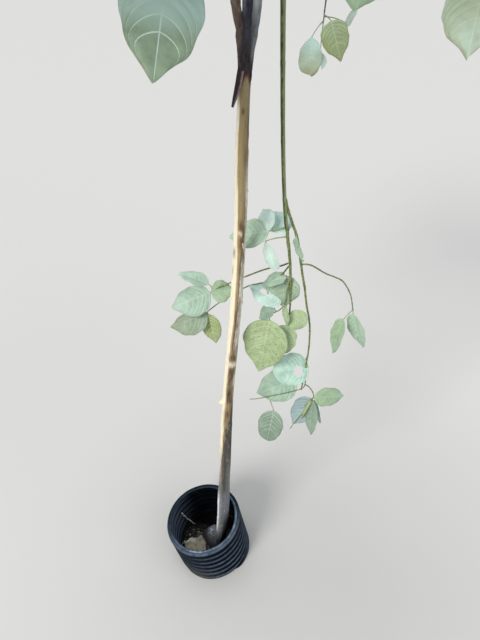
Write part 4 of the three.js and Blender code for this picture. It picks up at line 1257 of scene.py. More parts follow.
# leaves that the photograph shows one by one: base, tip, upper side, width,
# bend, fold, outline, waviness, how much wider one half is, hole
SEEN = [
    ("B1", "white", (106, 40, 863), (132, 62, 882), (-0.23, -0.48, 0.85), 50, 20, 6, "oval", 1.0, 1.00, ""),
    ("B1b", "white", (105, 30, 869), (95, 56, 890), (-0.71, -0.59, 0.40), 38, 22, 8, "oval", 1.0, 1.00, ""),
    ("B2", "pale", (104, 30, 867), (45, 46, 849), (-0.38, -0.63, 0.67), 44, 15, 5, "oval", 1.1, 1.00, ""),
    ("B3", "white", (99, 26, 853), (116, 14, 811), (-0.49, -0.87, 0.05), 24, 18, 6, "obovate", 0.8, 1.00, ""),
    ("C", "pale", (144, 24, 861), (155, 14, 825), (-0.90, -0.40, -0.17), 28, 10, 16, "oval", 1.0, 1.00, ""),
    ("A1", "pale", (11, 44, 766), (-39, 56, 779), (0.19, -0.26, 0.95), 30, 14, 8, "oval", 1.2, 1.00, ""),
    ("A2", "grey", (13, 44, 749), (-53, 38, 723), (-0.12, -0.85, 0.50), 51, 14, 4, "oval", 1.3, 1.16, ""),
    ("A4", "green", (14, 42, 750), (51, 50, 752), (0.16, -0.87, 0.47), 38, 10, 8, "oval", 1.0, 1.00, ""),
    ("A5", "dim", (7, 40, 709), (-58, 32, 686), (-0.14, -0.75, 0.65), 41, 14, 6, "oval", 1.2, 1.33, ""),
    ("A6", "olive", (8, 40, 708), (21, 26, 655), (-0.20, -0.96, 0.21), 34, 14, 8, "oval", 0.9, 1.00, ""),
    ("D1", "sage", (129, 39, 787), (134, 26, 733), (-0.08, -0.95, 0.30), 54, 16, 8, "oval", 1.2, 1.00, ""),
    ("D1b", "pale", (134, 30, 787), (97, 40, 770), (-0.47, -0.30, 0.83), 30, 14, 8, "oval", 1.2, 1.00, ""),
    ("D2", "white", (128, 24, 742), (76, 36, 767), (0.25, -0.53, 0.81), 38, 14, 6, "oval", 1.3, 1.00, "slit"),
    ("D4", "dim", (116, 20, 737), (93, 14, 718), (-0.51, -0.45, 0.73), 27, 12, 6, "oval", 1.0, 1.00, ""),
    ("D5", "lime", (137, 20, 739), (139, 10, 706), (-0.90, -0.43, 0.09), 22, 10, 14, "oval", 0.8, 1.00, ""),
    ("D3", "lime", (141, 22, 722), (170, 10, 707), (-0.13, -0.88, 0.46), 34, 16, 4, "round", 0.7, 1.00, ""),
    ("E", "lime", (110, 14, 716), (94, -4, 615), (-0.24, -0.95, 0.21), 76, 14, 3, "oval", 0.8, 1.00, ""),
    ("E2", "lime", (140, 18, 702), (123, 2, 642), (0.10, -0.97, 0.23), 48, 12, 6, "oval", 0.9, 1.00, ""),
    ("F", "mist", (185, 22, 602), (120, 2, 609), (0.28, -0.65, 0.71), 58, 14, 4, "round", 0.9, 1.00, "hole"),
    ("G", "grey", (165, 24, 570), (92, 8, 548), (0.04, -0.87, 0.49), 64, 12, 5, "oval", 1.0, 1.00, ""),
    ("H", "green", (200, 12, 534), (264, 36, 511), (0.45, -0.78, 0.43), 39, 14, 6, "oval", 1.0, 1.00, ""),
    ("I", "dim", (199, 14, 524), (198, -12, 453), (-0.80, -0.55, 0.22), 38, 12, 10, "oval", 0.9, 1.00, ""),
    ("I2", "white", (206, 16, 519), (218, 6, 464), (-0.90, -0.41, -0.12), 28, 10, 10, "oval", 1.0, 1.00, ""),
    ("J", "blue", (198, 26, 516), (165, 12, 456), (-0.38, -0.83, 0.40), 43, 12, 8, "oval", 1.0, 1.00, ""),
    ("J2", "olive", (198, 14, 524), (179, 6, 476), (-0.89, -0.26, 0.39), 10, 16, 12, "oval", 0.8, 1.00, ""),
    ("K", "shade", (126, 10, 499), (115, -10, 433), (-0.18, -0.93, 0.32), 49, 14, 4, "round", 0.9, 1.00, ""),
    ("L1", "green", (232, 18, 714), (219, 6, 650), (-0.93, -0.28, 0.25), 38, 10, 10, "oval", 1.0, 1.00, ""),
    ("L2", "pale", (247, 22, 722), (270, 8, 660), (-0.73, -0.68, -0.12), 38, 10, 10, "oval", 1.0, 1.00, ""),
    ("T1", "broad", (-4, -54, 1175), (-15, -130, 1094), (0.25, -0.72, 0.64), 75, 12, 8, "oval", 0.9, 1.00, ""),
    ("T2", "white", (187, 359, 1073), (181, 304, 1023), (-0.10, -0.67, 0.74), 42, 10, 12, "obovate", 1.6, 1.00, ""),
    ("T2b", "white", (200, 333, 1053), (204, 311, 1031), (0.55, -0.53, 0.65), 20, 14, 10, "oval", 1.4, 1.00, ""),
    ("T3", "olive", (219, 366, 1096), (233, 311, 1045), (-0.36, -0.68, 0.64), 48, 12, 6, "oval", 1.6, 1.00, ""),
    ("T3b", "white", (243, 365, 1094), (268, 394, 1112), (0.80, -0.58, -0.16), 26, 24, 10, "oval", 1.4, 1.00, ""),
    ("T4", "green", (200, 39, 1186), (182, -3, 1139), (-0.04, -0.73, 0.68), 60, 10, 8, "oval", 1.0, 1.00, ""),
    ("T5", "white", (281, -64, 1175), (259, -125, 1113), (-0.31, -0.62, 0.72), 60, 10, 8, "oval", 1.1, 1.00, ""),
]

# how much painted sky sheen (a painted reflection) such a leaf has at its base and tip, and how yellow
TONES = {
    "T1": (2.7, -1.5, 0.0, 0.0), "T2": (1.0, -0.4, -0.1, 0.8), "T2b": (0.1, 0.5, 0.2, 0.0), "T3": (0.25, 0.1, 0.1, 0.25),
    "T3b": (0.0, 0.3, 0.35, 0.0), "T5": (0.0, 0.0, 0.5, 0.4), "B1": (1.0, 1.0, 0.0, 0.0), "B1b": (0.2, 0.7, 0.0, 0.0),
    "B3": (0.0, 0.2, 0.2, 0.0), "A1": (0.1, 0.4, 0.0, 0.0), "A2": (0.0, 0.1, 0.0, 0.0), "C": (0.0, 0.1, 0.15, 0.0),
    "D2": (0.3, 0.3, 0.0, 0.0), "G": (0.2, 0.0, 0.0, 0.15), "J": (0.0, 0.2, 0.0, 0.0), "H": (0.0, 0.1, 0.1, 0.0),
    "E": (0.0, 0.0, 0.12, 0.05), "A5": (0.0, 0.0, 0.08, 0.34), "F": (0.0, 0.0, 0.0, 0.0),
}

# green side shoots of the hanging bough: points, thickness at each end
SHOOTS = [
    ("main", [(129, 31, 876), (133, 31, 850), (138, 30, 815), (140, 28, 796), (142, 25, 760), (143, 22, 712), (142, 20, 700)], 2.7, 1.3),
    ("second", [(125.2, 31.5, 916), (129.4, 32.2, 900), (137, 31, 880), (146, 30, 856), (156, 29, 806), (165, 28, 764), (172, 26, 728), (178, 24, 700), (181, 23, 664), (181, 22, 633), (179, 20, 600), (176, 18, 548)], 2.2, 1.2),
    ("left_upper", [(137, 33, 812), (124, 38, 803), (104, 43, 795), (70, 45, 779), (46, 46, 767), (16, 45, 752)], 1.4, 1.0),
    ("left_lower", [(137, 33, 806), (126, 38, 786), (110, 42, 774), (92, 45, 766), (74, 46, 760), (46, 46, 742), (22, 44, 724), (6, 42, 710)], 1.3, 0.9),
    ("right", [(157, 29, 812), (170, 26, 812), (192, 22, 800), (208, 20, 794), (221, 20, 786), (236, 20, 762), (245, 21, 731)], 1.3, 0.9),
    ("down", [(141, 27, 790), (136, 24, 766), (134, 22, 748), (131, 20, 738), (122, 18, 730), (108, 15, 725)], 1.2, 0.9),
    ("low_left", [(179, 20, 596), (181, 15, 567), (174, 9, 560), (149, 4, 555), (127, 3, 549), (96, 2, 541), (80, 3, 538)], 1.0, 0.7),
    ("low_right", [(182, 17, 562), (190, 16, 556), (198, 14, 542), (200, 13, 530)], 1.1, 0.9),
    ("low_down", [(199, 13, 532), (193, 14, 510), (182, 12, 488), (170, 8, 470), (160, 4, 452)], 1.0, 0.6),
    ("f_stalk", [(180, 22, 628), (179, 22, 622), (177, 22, 618)], 0.9, 0.8),
]


# the stem that carries the low leaves at the back, and its side stalks
BACK_TWIG = [(207, 366, 1130), (208, 380, 1112), (209, 388, 1094)]


def build_foliage():
    growth = Growth()
    groups = {"leaves_upper_crown": Leaves(), "leaves_middle_crown": Leaves(), "leaves_lower_crown": Leaves(), "leaves_low_sprays": Leaves(), "leaves_hanging": Leaves()}
    covers = {k: [] for k in groups}
    for n, (mass, feeder) in enumerate(FEEDS):
        z = MASSES[mass][0][2]
        key = "leaves_upper_crown" if z > 1650 else "leaves_middle_crown" if z > 1450 else "leaves_lower_crown"
        covers[key].append(mass)
        r = MASSES[mass][1]
        grow_mass(groups[key], growth, mass, feeder, 100 + 13 * n, int(round(17 * (r[0] * r[1] * r[2] / 1.6e6) ** 0.6)) + 4)
    # the low sprays round the top of the picture
    low = groups["leaves_low_sprays"]
    rng = random.Random(77)
    for mass, feeder, floor_z in (("foliage_low_left", "bough_low_left", 1178), ("foliage_low_right", "bough_low_right", 1178), ("foliage_low_back", "bough_low_back", 1140)):
        covers["leaves_low_sprays"].append(mass)
        F = PATHS[feeder]["P2"]
        T, S, U = frames(F)
        s = np.concatenate([[0], np.cumsum(np.linalg.norm(np.diff(F, axis=0), axis=1))])
        for k, back in enumerate((6, 34, 62)):
            i = int(np.argmin(abs(s - (s[-1] - back))))
            for sgn in (0, math.pi):
                a = 0.6 + k * 1.57 + sgn
                out = unit(S[i] * math.cos(a) + U[i] * math.sin(a) + T[i] * 0.2)
                leaf_at(low, growth, rng, F[i], out, mass, pick(rng, CROWN_COLOURS), rng.uniform(20, 50), 0.8, floor_z)
    growth.twig(np.array(spline(BACK_TWIG, 20)), 1.5, 1.0, 7, 0, 40, 61)
    # the hanging shoot
    hanging = groups["leaves_hanging"]
    covers["leaves_hanging"] = ["foliage_hanging_node", "foliage_hanging_middle", "foliage_hanging_left", "foliage_hanging_right", "foliage_hanging_foot"]
    shoots = Geo()
    for k, (name, pts, r0, r1) in enumerate(SHOOTS):
        P, s = resample(spline(pts, 120), 2.2)
        P = wiggle(P, 0.8, 26.0, 700 + k)
        R = (r0 + (r1 - r0) * s / s[-1]) * swollen(s, 42, 800 + k, 0.20, 1.6)
        tube(shoots, P, R, 9, 0, None, limb_relief(820 + k, 0.06))
    stems = [spline(q, 60) for _, q, _, _ in SHOOTS] + [PATHS[f]["P2"] for f in ("bough_low_left", "bough_low_right", "bough_low_back", "bough_hanging")] + [spline(BACK_TWIG, 30)]
    for name, slot, base, tip, normal, W, bend, fold, shape, wave, lr, extra in SEEN:
        base, tip = np.array(base, float), np.array(tip, float)
        L = float(np.linalg.norm(tip - base))
        near = name[0] == "T"
        hole = {"slit": (0.55, -0.07, 8.5, 3.6), "hole": (0.32, 0.10, 9.6, 9.6)}.get(extra)
        target = low if near else hanging
        fine = 3 if hole or name in ("E", "T1", "E2", "F") else 2
        target.add(base, tip - base, normal, L, W, slot, bend=bend, fold=fold, twist=(hash_name(name) % 13) - 6, wave=wave, fine=fine, hole=hole, curl=0.6, shape=shape, lr=lr, tone=TONES.get(name, (0.05, 0.05, 0.0, 0.0)))
        # its stalk runs back to the nearest stem
        best = min((float(np.min(np.linalg.norm(q - base, axis=1))), qi) for qi, q in enumerate(stems))
        q = stems[best[1]]
        near_pt = q[int(np.argmin(np.linalg.norm(q - base, axis=1)))]
        if best[0] > 1.0:
            stalk(growth.stalks, base, near_pt, 1.0, 0.75)
    obs = []
    for key, leaves in groups.items():
        print(key, leaves.number, "leaves", leaves.geo.count(), "triangles")
        obs.append((leaves.geo.make(key, LEAF_MATS), covers[key]))
    print("twigs", growth.twigs.count(), "stalks", growth.stalks.count())
    obs.append((growth.twigs.make("twigs", [MAT_TWIG, MAT_BUD]), []))
    obs.append((growth.stalks.make("leaf_stalks", [MAT_PETIOLE]), []))
    obs.append((shoots.make("green_shoots", [MAT_SHOOT]), ["shoot_middle", "shoot_left", "shoot_right", "shoot_foot"]))
    return obs


def hash_name(s):
    return sum((i + 3) * ord(c) for i, c in enumerate(s))


# ------------------------------------------------------------------ collar

COLLAR = dict(outer=87.5, groove=78.6, wall=1.9, rim=10.5, pitch=20.6, height=141.0, foot=(-3.4, 0, 0), lean=(-9.1, -2.9))


def collar_axis():
    up = unit([math.tan(COLLAR["lean"][0] * RAD), math.tan(COLLAR["lean"][1] * RAD), 1])
    x = unit(np.cross([0, 1.0, 0], up))
    y = np.cross(up, x)
    return np.array(COLLAR["foot"], float), x, y, up


def collar_outside(down):
    """Outside radius at a distance down from the mouth, which is cut through a groove."""
    c = COLLAR
    if down < 4.6:
        return c["groove"] + 0.8 + (c["outer"] - c["groove"] - 0.8) * math.sin(max(0.0, down) / 4.6 * math.pi / 2)
    d = down - c["rim"]
    if d <= 0:
        return c["outer"]
    ph = (d % c["pitch"]) / c["pitch"]
    valley = math.exp(-abs((ph - 0.38) * c["pitch"] / 5.2) ** 3.2)
    return c["outer"] - (c["outer"] - c["groove"]) * valley


def build_collar():
    c = COLLAR
    seg = 180
    foot, ax, ay, au = collar_axis()
    steps = np.concatenate([[0.0, 0.25, 0.7, 1.3, 2.0, 2.8, 3.7, 4.6], np.arange(5.8, 167, 1.15)])
    ro = np.array([collar_outside(x) for x in steps])
    # the wall keeps its thickness square to its own slope
    slope = np.gradient(ro, steps)
    facing = smooth(0.1, 0.3, slope) * smooth(85.0, 86.2, ro) * smooth(87.32, 87.12, ro)
    facing_in = smooth(0.25, 1.0, -slope)
    thick = c["wall"] * np.minimum(2.2, np.sqrt(1 + slope ** 2))
    thick[0] = 1.2
    ri = np.maximum(ro - thick, 74.5)
    so, si = steps.copy(), steps.copy()
    si[0] += 0.25
    prof = [(r, -q) for r, q in zip(ro, so)] + [(r, -q) for r, q in zip(ri[::-1], si[::-1])]
    prof = np.array(prof)
    a = np.arange(seg) / seg * 2 * math.pi
    A, RR = np.meshgrid(a, prof[:, 0], indexing="ij")
    _, DD = np.meshgrid(a, prof[:, 1], indexing="ij")
    # hand cut: the mouth is not quite flat, and the pipe is not quite round
    cut = 0.7 * np.sin(2 * A + 0.6) + 0.5 * np.sin(5 * A + 2.0) + 0.25 * np.sin(13 * A)
    Hh = c["height"] + DD + cut * np.clip(1 + DD / 9.0, 0, 1)
    RR = RR * (1 + 0.004 * np.sin(2 * A + 1.1))
    P = foot + ax * (np.cos(A) * RR)[..., None] + ay * (np.sin(A) * RR)[..., None] + au * Hh[..., None]
    # cut flat at the ground: what lies below gathers at the wall's own crossing
    half_n = len(steps)
    for part in (P[:, :half_n], P[:, :half_n - 1:-1]):
        for line in part:
            below = np.nonzero(line[:, 2] < 0)[0]
            if len(below):
                k0 = below[0]
                hi, lo = line[k0 - 1], line[k0]
                line[k0:] = hi + (lo - hi) * (hi[2] / (hi[2] - lo[2]))
                line[k0:, 2] = 0.0
    rows, cols = P.shape[:2]
    V = P.reshape(-1, 3)
    i = np.arange(rows)[:, None]
    j = np.arange(cols)[None, :]
    k = (j + 1) % cols
    n = (i + 1) % rows
    q = np.stack([i * cols + j, i * cols + k, n * cols + k, n * cols + j], -1).reshape(-1, 4)
    # leave out faces that the cut made empty
    q3 = V[q]
    area = np.linalg.norm(np.cross(q3[:, 2] - q3[:, 0], q3[:, 3] - q3[:, 1]), axis=1)
    q = q[(area > 1e-4)]
    geo = Geo()
    down = -DD.reshape(-1)
    inner = np.concatenate([np.zeros(len(steps)), np.ones(len(steps))])
    inner = np.broadcast_to(inner, (rows, cols)).reshape(-1)
    deg = (A.reshape(-1) / RAD)
    z = V[:, 2]
    orad = np.broadcast_to(np.concatenate([ro, ro[::-1]]), (rows, cols)).reshape(-1)
    groove = smooth(85.5, 80.5, orad)
    ledge = np.broadcast_to(np.concatenate([facing, facing_in[::-1]]), (rows, cols)).reshape(-1) * smooth(8, 12, down)
    crest = smooth(85.0, 87.4, orad)
    low = smooth(70, 6, z)
    leftfront = smooth(75, 20, abs(angle_gap(deg, 225)))
    patch = fbm(V[:, 0] / 16, V[:, 1] / 16, V[:, 2] / 11, 4, 91)
    dust = np.clip(-0.04 + 0.66 * low * leftfront + 0.20 * patch * (0.15 + low), 0, 1)
    dust = np.where(inner > 0.5, np.clip(0.30 * smooth(34, 5, z) + 0.10 * patch, 0, 1), dust)
    # painted highlights standing for sky reflections: along the shoulder of the mouth, faintly along each rib, on the
    # upward ledges and on the cut lip
    right = smooth(130, 50, abs(angle_gap(deg, 310)))
    shoulder = smooth(0.4, 1.6, down) * smooth(5.4, 3.8, down)
    ribline = crest * smooth(0.35, 0.8, fbm(V[:, 0] / 20, V[:, 1] / 20, V[:, 2] / 3, 2, 94) * 0.5 + 0.5)
    front = smooth(110, 45, abs(angle_gap(deg, 280)))
    painted_highlight = shoulder * (0.12 + 0.62 * front) + 0.012 * ribline * right + ledge * (0.18 + 0.58 * smooth(95, 25, abs(angle_gap(deg, 318)))) + 1.4 * smooth(1.0, 0.0, down) * (0.2 + 0.8 * right)
    # painted highlights on the inner left ribs
    inleft = ledge * smooth(70, 20, abs(angle_gap(deg, 185))) * smooth(125, 80, down) * 0.62
    painted_highlight = np.clip(painted_highlight * (0.8 + 0.5 * fbm(V[:, 0] / 7, V[:, 1] / 7, V[:, 2] / 3, 3, 92)), 0, 1.6) * np.where(inner > 0.5, smooth(1.2, 0.0, down), 1.0)
    painted_highlight = np.where(inner > 0.5, painted_highlight + inleft, painted_highlight)
    geo.add(V, q)
    ob = geo.make("collar_pipe", [collar_material()], {"dust": dust, "painted_highlight": painted_highlight, "inside": np.where(inner > 0.5, smooth(3.0, 16.0, down), 0.0)})
    bm_fix(ob)
    return ob


def bm_fix(ob):
    import bmesh
    bm = bmesh.new()
    bm.from_mesh(ob.data)
    bmesh.ops.remove_doubles(bm, verts=bm.verts, dist=1e-6)
    bmesh.ops.dissolve_degenerate(bm, edges=bm.edges, dist=1e-6)
    bmesh.ops.recalc_face_normals(bm, faces=bm.faces)
    bm.to_mesh(ob.data)
    bm.free()


def collar_material():
    m, nt, b = material("black_plastic", 0.3, 0.3)
    dust = attribute(nt, "dust").outputs["Fac"]
    inside = attribute(nt, "inside").outputs["Fac"]
    painted_highlight = attribute(nt, "painted_highlight").outputs["Fac"]
    n = noise_node(nt, 240, 5, 0.65)
    n2 = noise_node(nt, 60, 4, 0.6)
    base = ramp(nt, n2.outputs["Fac"], [(0.3, lin(2, 6, 12)), (0.7, lin(6, 14, 25))]).outputs["Color"]
    # painted shade: the inside of the pipe is darker
    base = mix(nt, inside, base, lin(3, 6, 11))
    d = math_node(nt, "MULTIPLY", dust, ramp(nt, n.outputs["Fac"], [(0.30, (0, 0, 0)), (0.66, (1.15, 1.15, 1.15))]).outputs["Color"], True)
    # painted highlights: a pale blue grey, and paler still on the brightest lines
    col = mix(nt, math_node(nt, "MULTIPLY", painted_highlight, 0.9, True), base, lin(100, 115, 134))
    col = mix(nt, math_node(nt, "MULTIPLY", math_node(nt, "SUBTRACT", painted_highlight, 0.9), 1.6, True), col, lin(166, 184, 208))
    col = mix(nt, d, col, lin(88, 88, 86))
    nt.links.new(col, b.inputs["Base Color"])
    r = math_node(nt, "ADD", 0.33, math_node(nt, "ADD", math_node(nt, "MULTIPLY", d, 0.5), math_node(nt, "MULTIPLY", painted_highlight, 0.15)), True)
    r = math_node(nt, "ADD", r, math_node(nt, "MULTIPLY", inside, 0.2), True)
    nt.links.new(r, b.inputs["Roughness"])
    b.inputs["Specular Tint"].default_value = (0.80, 0.90, 1.0, 1)
    b.inputs["Specular IOR Level"].default_value = 0.012
    bump(nt, b, n.outputs["Fac"], 0.10, 0.0004)
    return m


# ------------------------------------------------------------------ soil

def soil_height(x, y):
    return 10 + 3.2 * np.sin(x / 19 + 1.2) + 2.4 * np.sin(y / 14 - 0.4) + 1.8 * np.sin((x + y) / 9) - x * 0.03


def soil_place(x, y):
    """Height of the rough surface; x and y as on the disc before it slides up."""
    h = soil_height(x, y) + 2.6 * fbm(x / 9, y / 9, 0.5, 4, 71) + 1.6 * np.abs(fbm(x / 3.4, y / 3.4, 1.5, 3, 72)) + 3.0 * np.exp(-((x + 52) ** 2 + (y + 8) ** 2) / 420.0)
    return np.clip(h, 3, 17.5)


def on_soil(angle, rad, lift=0.0):
    foot, ax, ay, au = collar_axis()
    p = foot + ax * math.cos(angle) * rad + ay * math.sin(angle) * rad
    h = float(soil_place(p[0], p[1])) + lift
    return p + au * ((h - p[2]) / au[2])


def build_soil():
    foot, ax, ay, au = collar_axis()
    seg, rings = 140, 64
    rmax = COLLAR["groove"] - COLLAR["wall"] - 0.9
    geo = Geo()
    a = np.arange(seg) / seg * 2 * math.pi
    rr = np.linspace(0.0, 1.0, rings + 1)[1:] * rmax
    A, RR = np.meshgrid(a, rr, indexing="xy")
    P = foot + ax * (np.cos(A) * RR)[..., None] + ay * (np.sin(A) * RR)[..., None]
    x, y = P[..., 0], P[..., 1]
    h = np.clip(soil_place(x, y) - 2.0 * smooth(0.95, 1.0, RR / rmax), 2.5, 17.5)
    P = P + au * ((h - P[..., 2]) / au[2])[..., None]
    top = P.reshape(-1, 3)
    # a thin lip follows the wall's own ribs, so that no gap is left there
    edge = P[-1]
    height = (edge - foot) @ au
    r_wall = np.array([collar_outside(COLLAR["height"] - q) for q in height]) - 1.0
    lip = foot + ax * (np.cos(a) * r_wall)[:, None] + ay * (np.sin(a) * r_wall)[:, None]
    lip = lip + au * ((edge[:, 2] - 0.2 - lip[:, 2]) / au[2])[:, None]
    under = edge - np.array([0, 0, 1.6])
    top = np.concatenate([top, lip, under])
    rings += 2
    bottom = foot + ax * (np.cos(a) * rmax)[:, None] + ay * (np.sin(a) * rmax)[:, None]
    bottom = bottom - au * (bottom[:, 2] / au[2])[:, None]
    mid = foot + au * (float(soil_place(foot[0], foot[1])) / au[2])
    V = np.concatenate([top, bottom, [mid], [[foot[0], foot[1], 0]]])
    q = grid_quads(rings, seg)
    n = rings * seg
    j = np.arange(seg)
    k = (j + 1) % seg
    side = np.stack([(rings - 1) * seg + j, (rings - 1) * seg + k, n + k, n + j], -1)
    tris = np.concatenate([np.stack([np.full(seg, n + seg), j, k], -1), np.stack([np.full(seg, n + seg + 1), n + k, n + j], -1)])
    # painted shadow: the soil darkens to near black towards the back wall
    deep = smooth(18, 46, V[:, 1] + 0.25 * V[:, 0])
    shade = np.array(lin(60, 56, 54)) * (1 - deep)[:, None] + np.array(lin(15, 14, 14)) * deep[:, None]
    geo.add(V, np.concatenate([q, side]), tris, 0, 0, shade)
    # crumbs and bits of litter lying on it, heaped at the left
    r = random.Random(55)
    shapes = (icosphere(), icosphere(False))
    bits = Geo()
    spread = 0
    while spread < 2300:
        ang = r.uniform(0, 2 * math.pi)
        rad = rmax * math.sqrt(r.uniform(0, 1)) * 0.96
        heap = spread < 1900
        if heap:
            ang = r.gauss(180, 30) * RAD
            rad = r.uniform(0.16, 0.97) * rmax
        size = r.uniform(0.8, 1.7) if r.random() < 0.86 else r.uniform(1.7, 3.2)
        lift = r.uniform(0, 4.5) * math.exp(-((ang / RAD - 178) / 34) ** 2) if heap else 0
        c = on_soil(ang, rad, size * 0.25 + lift)
        spread += 1
        if heap and c[1] > r.gauss(40, 6):
            continue
        i = spread
        ico_v, ico_f = shapes[0 if size > 1.55 and c[1] < 40 else 1]
        rot = np.array(Matrix.Rotation(r.uniform(0, 6), 3, Vector((r.gauss(0, 1), r.gauss(0, 1), r.gauss(0, 1))).normalized()))
        v = ico_v * (1 + 0.35 * fbm(ico_v[:, 0] * 1.4 + i, ico_v[:, 1] * 1.4, ico_v[:, 2] * 1.4, 2, 5))[:, None]
        v = (v * np.array([1, r.uniform(0.6, 1), r.uniform(0.45, 0.8)]) * size) @ rot.T + c
        v[:, 2] = np.maximum(v[:, 2], 0.6)
        x = r.random()
        # painted shadow: crumbs at the back get the dark soil colour, darkening towards the back
        dim = c[1] > 34 and x > 0.5
        kind = 0 if x < 0.50 or dim else 1 if x < 0.86 else 2
        back = smooth(22, 50, np.array([c[1] + 0.25 * c[0]]))[0]
        shade = np.array(lin(58, 55, 54)) * (1 - back) + np.array(lin(20, 18, 17)) * back
        bits.add(v, None, ico_f, 0, kind, shade)
    # short straws
    for i in range(16):
        ang, rad = r.gauss(175, 40) * RAD, r.uniform(0.4, 0.9) * rmax
        c = on_soil(ang, rad, 1.8)
        d = unit([r.gauss(0, 1), r.gauss(0, 1), r.gauss(0, 0.25)])
        half = r.uniform(1.5, 4.5)
        pts = [c - d * half, c + np.array([0, 0, r.uniform(0, 1.5)]), c + d * half]
        pts = [np.array([p_[0], p_[1], max(2.0, p_[2])]) for p_ in pts]
        tube(bits, spline(pts, 7), r.uniform(0.3, 0.6), 5, 2 if r.random() < 0.3 else 1, lambda V, N: np.broadcast_to(lin(150, 142, 130), (len(V), 3)))
    return geo, bits


def build_litter():
    """One dry curled leaf against the front wall and a pale rootlet at the back."""
    geo = Geo()
    # rows run along the wall, columns from its far edge towards the wall
    n, m = 44, 18
    u = np.linspace(0, 1, n)
    v = np.linspace(0, 1, m)
    U_, V_ = np.meshgrid(u, v, indexing="ij")
    X_ = -77 + 53 * U_
    far = np.interp(X_, [-81, -77, -73, -68, -64, -60, -56, -53, -48, -43, -39, -36, -33, -30, -24], [-13, -13.5, -13, -10, -5, -3.5, -3.0, -1.0, 2.5, 5.0, 10.5, 9.0, 4.0, 0.0, -10])
    far = far + 1.3 * fbm(X_ / 3.0, 0.2, 0.7, 3, 130)
    near = np.maximum(far - np.interp(X_, [-77, -73, -66, -52, -32, -24], [3, 14, 34, 66, 60, 24]), -np.sqrt(np.maximum(0, 71.5 ** 2 - (X_ + 6.5) ** 2)) - 1.0)
    P = np.stack([X_, far + (near - far) * V_, 0 * X_], -1)
    P[..., 2] = 19.5 + 2.0 * fbm(P[..., 0] / 8, P[..., 1] / 8, 0.4, 4, 131) + 7.0 * smooth(0.22, 0.0, V_) * smooth(0.62, 0.35, U_) + 3.0 * smooth(0.2, 0.0, V_) + 12.0 * V_ ** 2 + 1.8 * np.sin(U_ * 9.0 + 3 * V_) * (0.4 + V_)
    bumpy = P[..., 2]
    under = P - np.array([0, 0, 0.55])
    V = np.concatenate([P.reshape(-1, 3), under.reshape(-1, 3)])
    q = grid_quads(n, m, wrap=False)
    k = n * m
    edge = [(i * m, (i + 1) * m) for i in range(n - 1)] + [((i + 1) * m + m - 1, i * m + m - 1) for i in range(n - 1)]
    edge += [(j + 1, j) for j in range(m - 1)] + [((n - 1) * m + j, (n - 1) * m + j + 1) for j in range(m - 1)]
    rim = np.array([(a, b, b + k, a + k) for a, b in edge])
    # painted highlight: the far edge of the leaf is near white
    painted_lit_edge = (smooth(0.17, 0.04, V_) * smooth(0.56, 0.46, U_)).reshape(-1, 1)
    mott = smooth(-0.1, 0.4, fbm(P[..., 0] / 5, P[..., 1] / 5, 0.9, 3, 132)).reshape(-1, 1)
    c = np.array(lin(192, 184, 164)) * (1 - mott) + np.array(lin(146, 136, 120)) * mott
    c = c * (1 - painted_lit_edge) + np.array(lin(255, 248, 228)) * painted_lit_edge
    tint = np.concatenate([c, c])
    geo.add(V, np.concatenate([q, q[:, ::-1] + k, rim]), None, 0, 0, tint)
    # its far edge curls up, its own pale colour painted near white as light, and a short pale straw lies beside it
    curl = P[:24, 0] + np.array([0.0, 0.6, 1.0])
    tube(geo, curl, np.interp(np.arange(24), [0, 4, 14, 23], [0.8, 2.1, 1.9, 0.5]), 8, 0, lambda V, N: np.broadcast_to(lin(255, 250, 236), (len(V), 3)))
    tube(geo, spline([(-84.5, -12.5, 20), (-80.5, -9.5, 24), (-77.0, -6.0, 27)], 12), 1.1, 6, 0, lambda V, N: np.broadcast_to(lin(246, 240, 228), (len(V), 3)))
    # rootlet down the back wall to the soil, with a few hairs
    root = spline([(-84.0, 29.8, 92), (-79.5, 32.6, 78), (-74.6, 34.0, 64), (-69.5, 38.0, 48), (-64.0, 40.5, 34), (-57.0, 42.5, 17)], 70)
    s_ = np.concatenate([[0], np.cumsum(np.linalg.norm(np.diff(root, axis=0), axis=1))])
    root = root + np.stack([0.9 * np.sin(s_ / 3.1), 0.7 * np.cos(s_ / 4.3), 0.8 * np.sin(s_ / 2.3)], -1)
    tube(geo, root, 1.15 + 0.32 * np.sin(s_ / 2.1) + 0.2 * np.sin(s_ / 0.9), 7, 0, lambda V, N: np.broadcast_to(lin(236, 232, 224), (len(V), 3)))
    r = random.Random(8)
    for i in range(6):
        p0 = root[r.randrange(18, 68)]
        d = unit([r.uniform(-0.4, 1.0), r.uniform(-1.0, 0.3), r.uniform(-0.8, 0.8)])
        h = r.uniform(1.5, 3.6)
        tube(geo, spline([p0, p0 + d * h, p0 + d * h * 1.8 - np.array([0, 0, h * 0.6])], 8), np.linspace(0.5, 0.3, 8), 5, 0, lambda V, N: np.broadcast_to(lin(196, 188, 176), (len(V), 3)))
    return geo


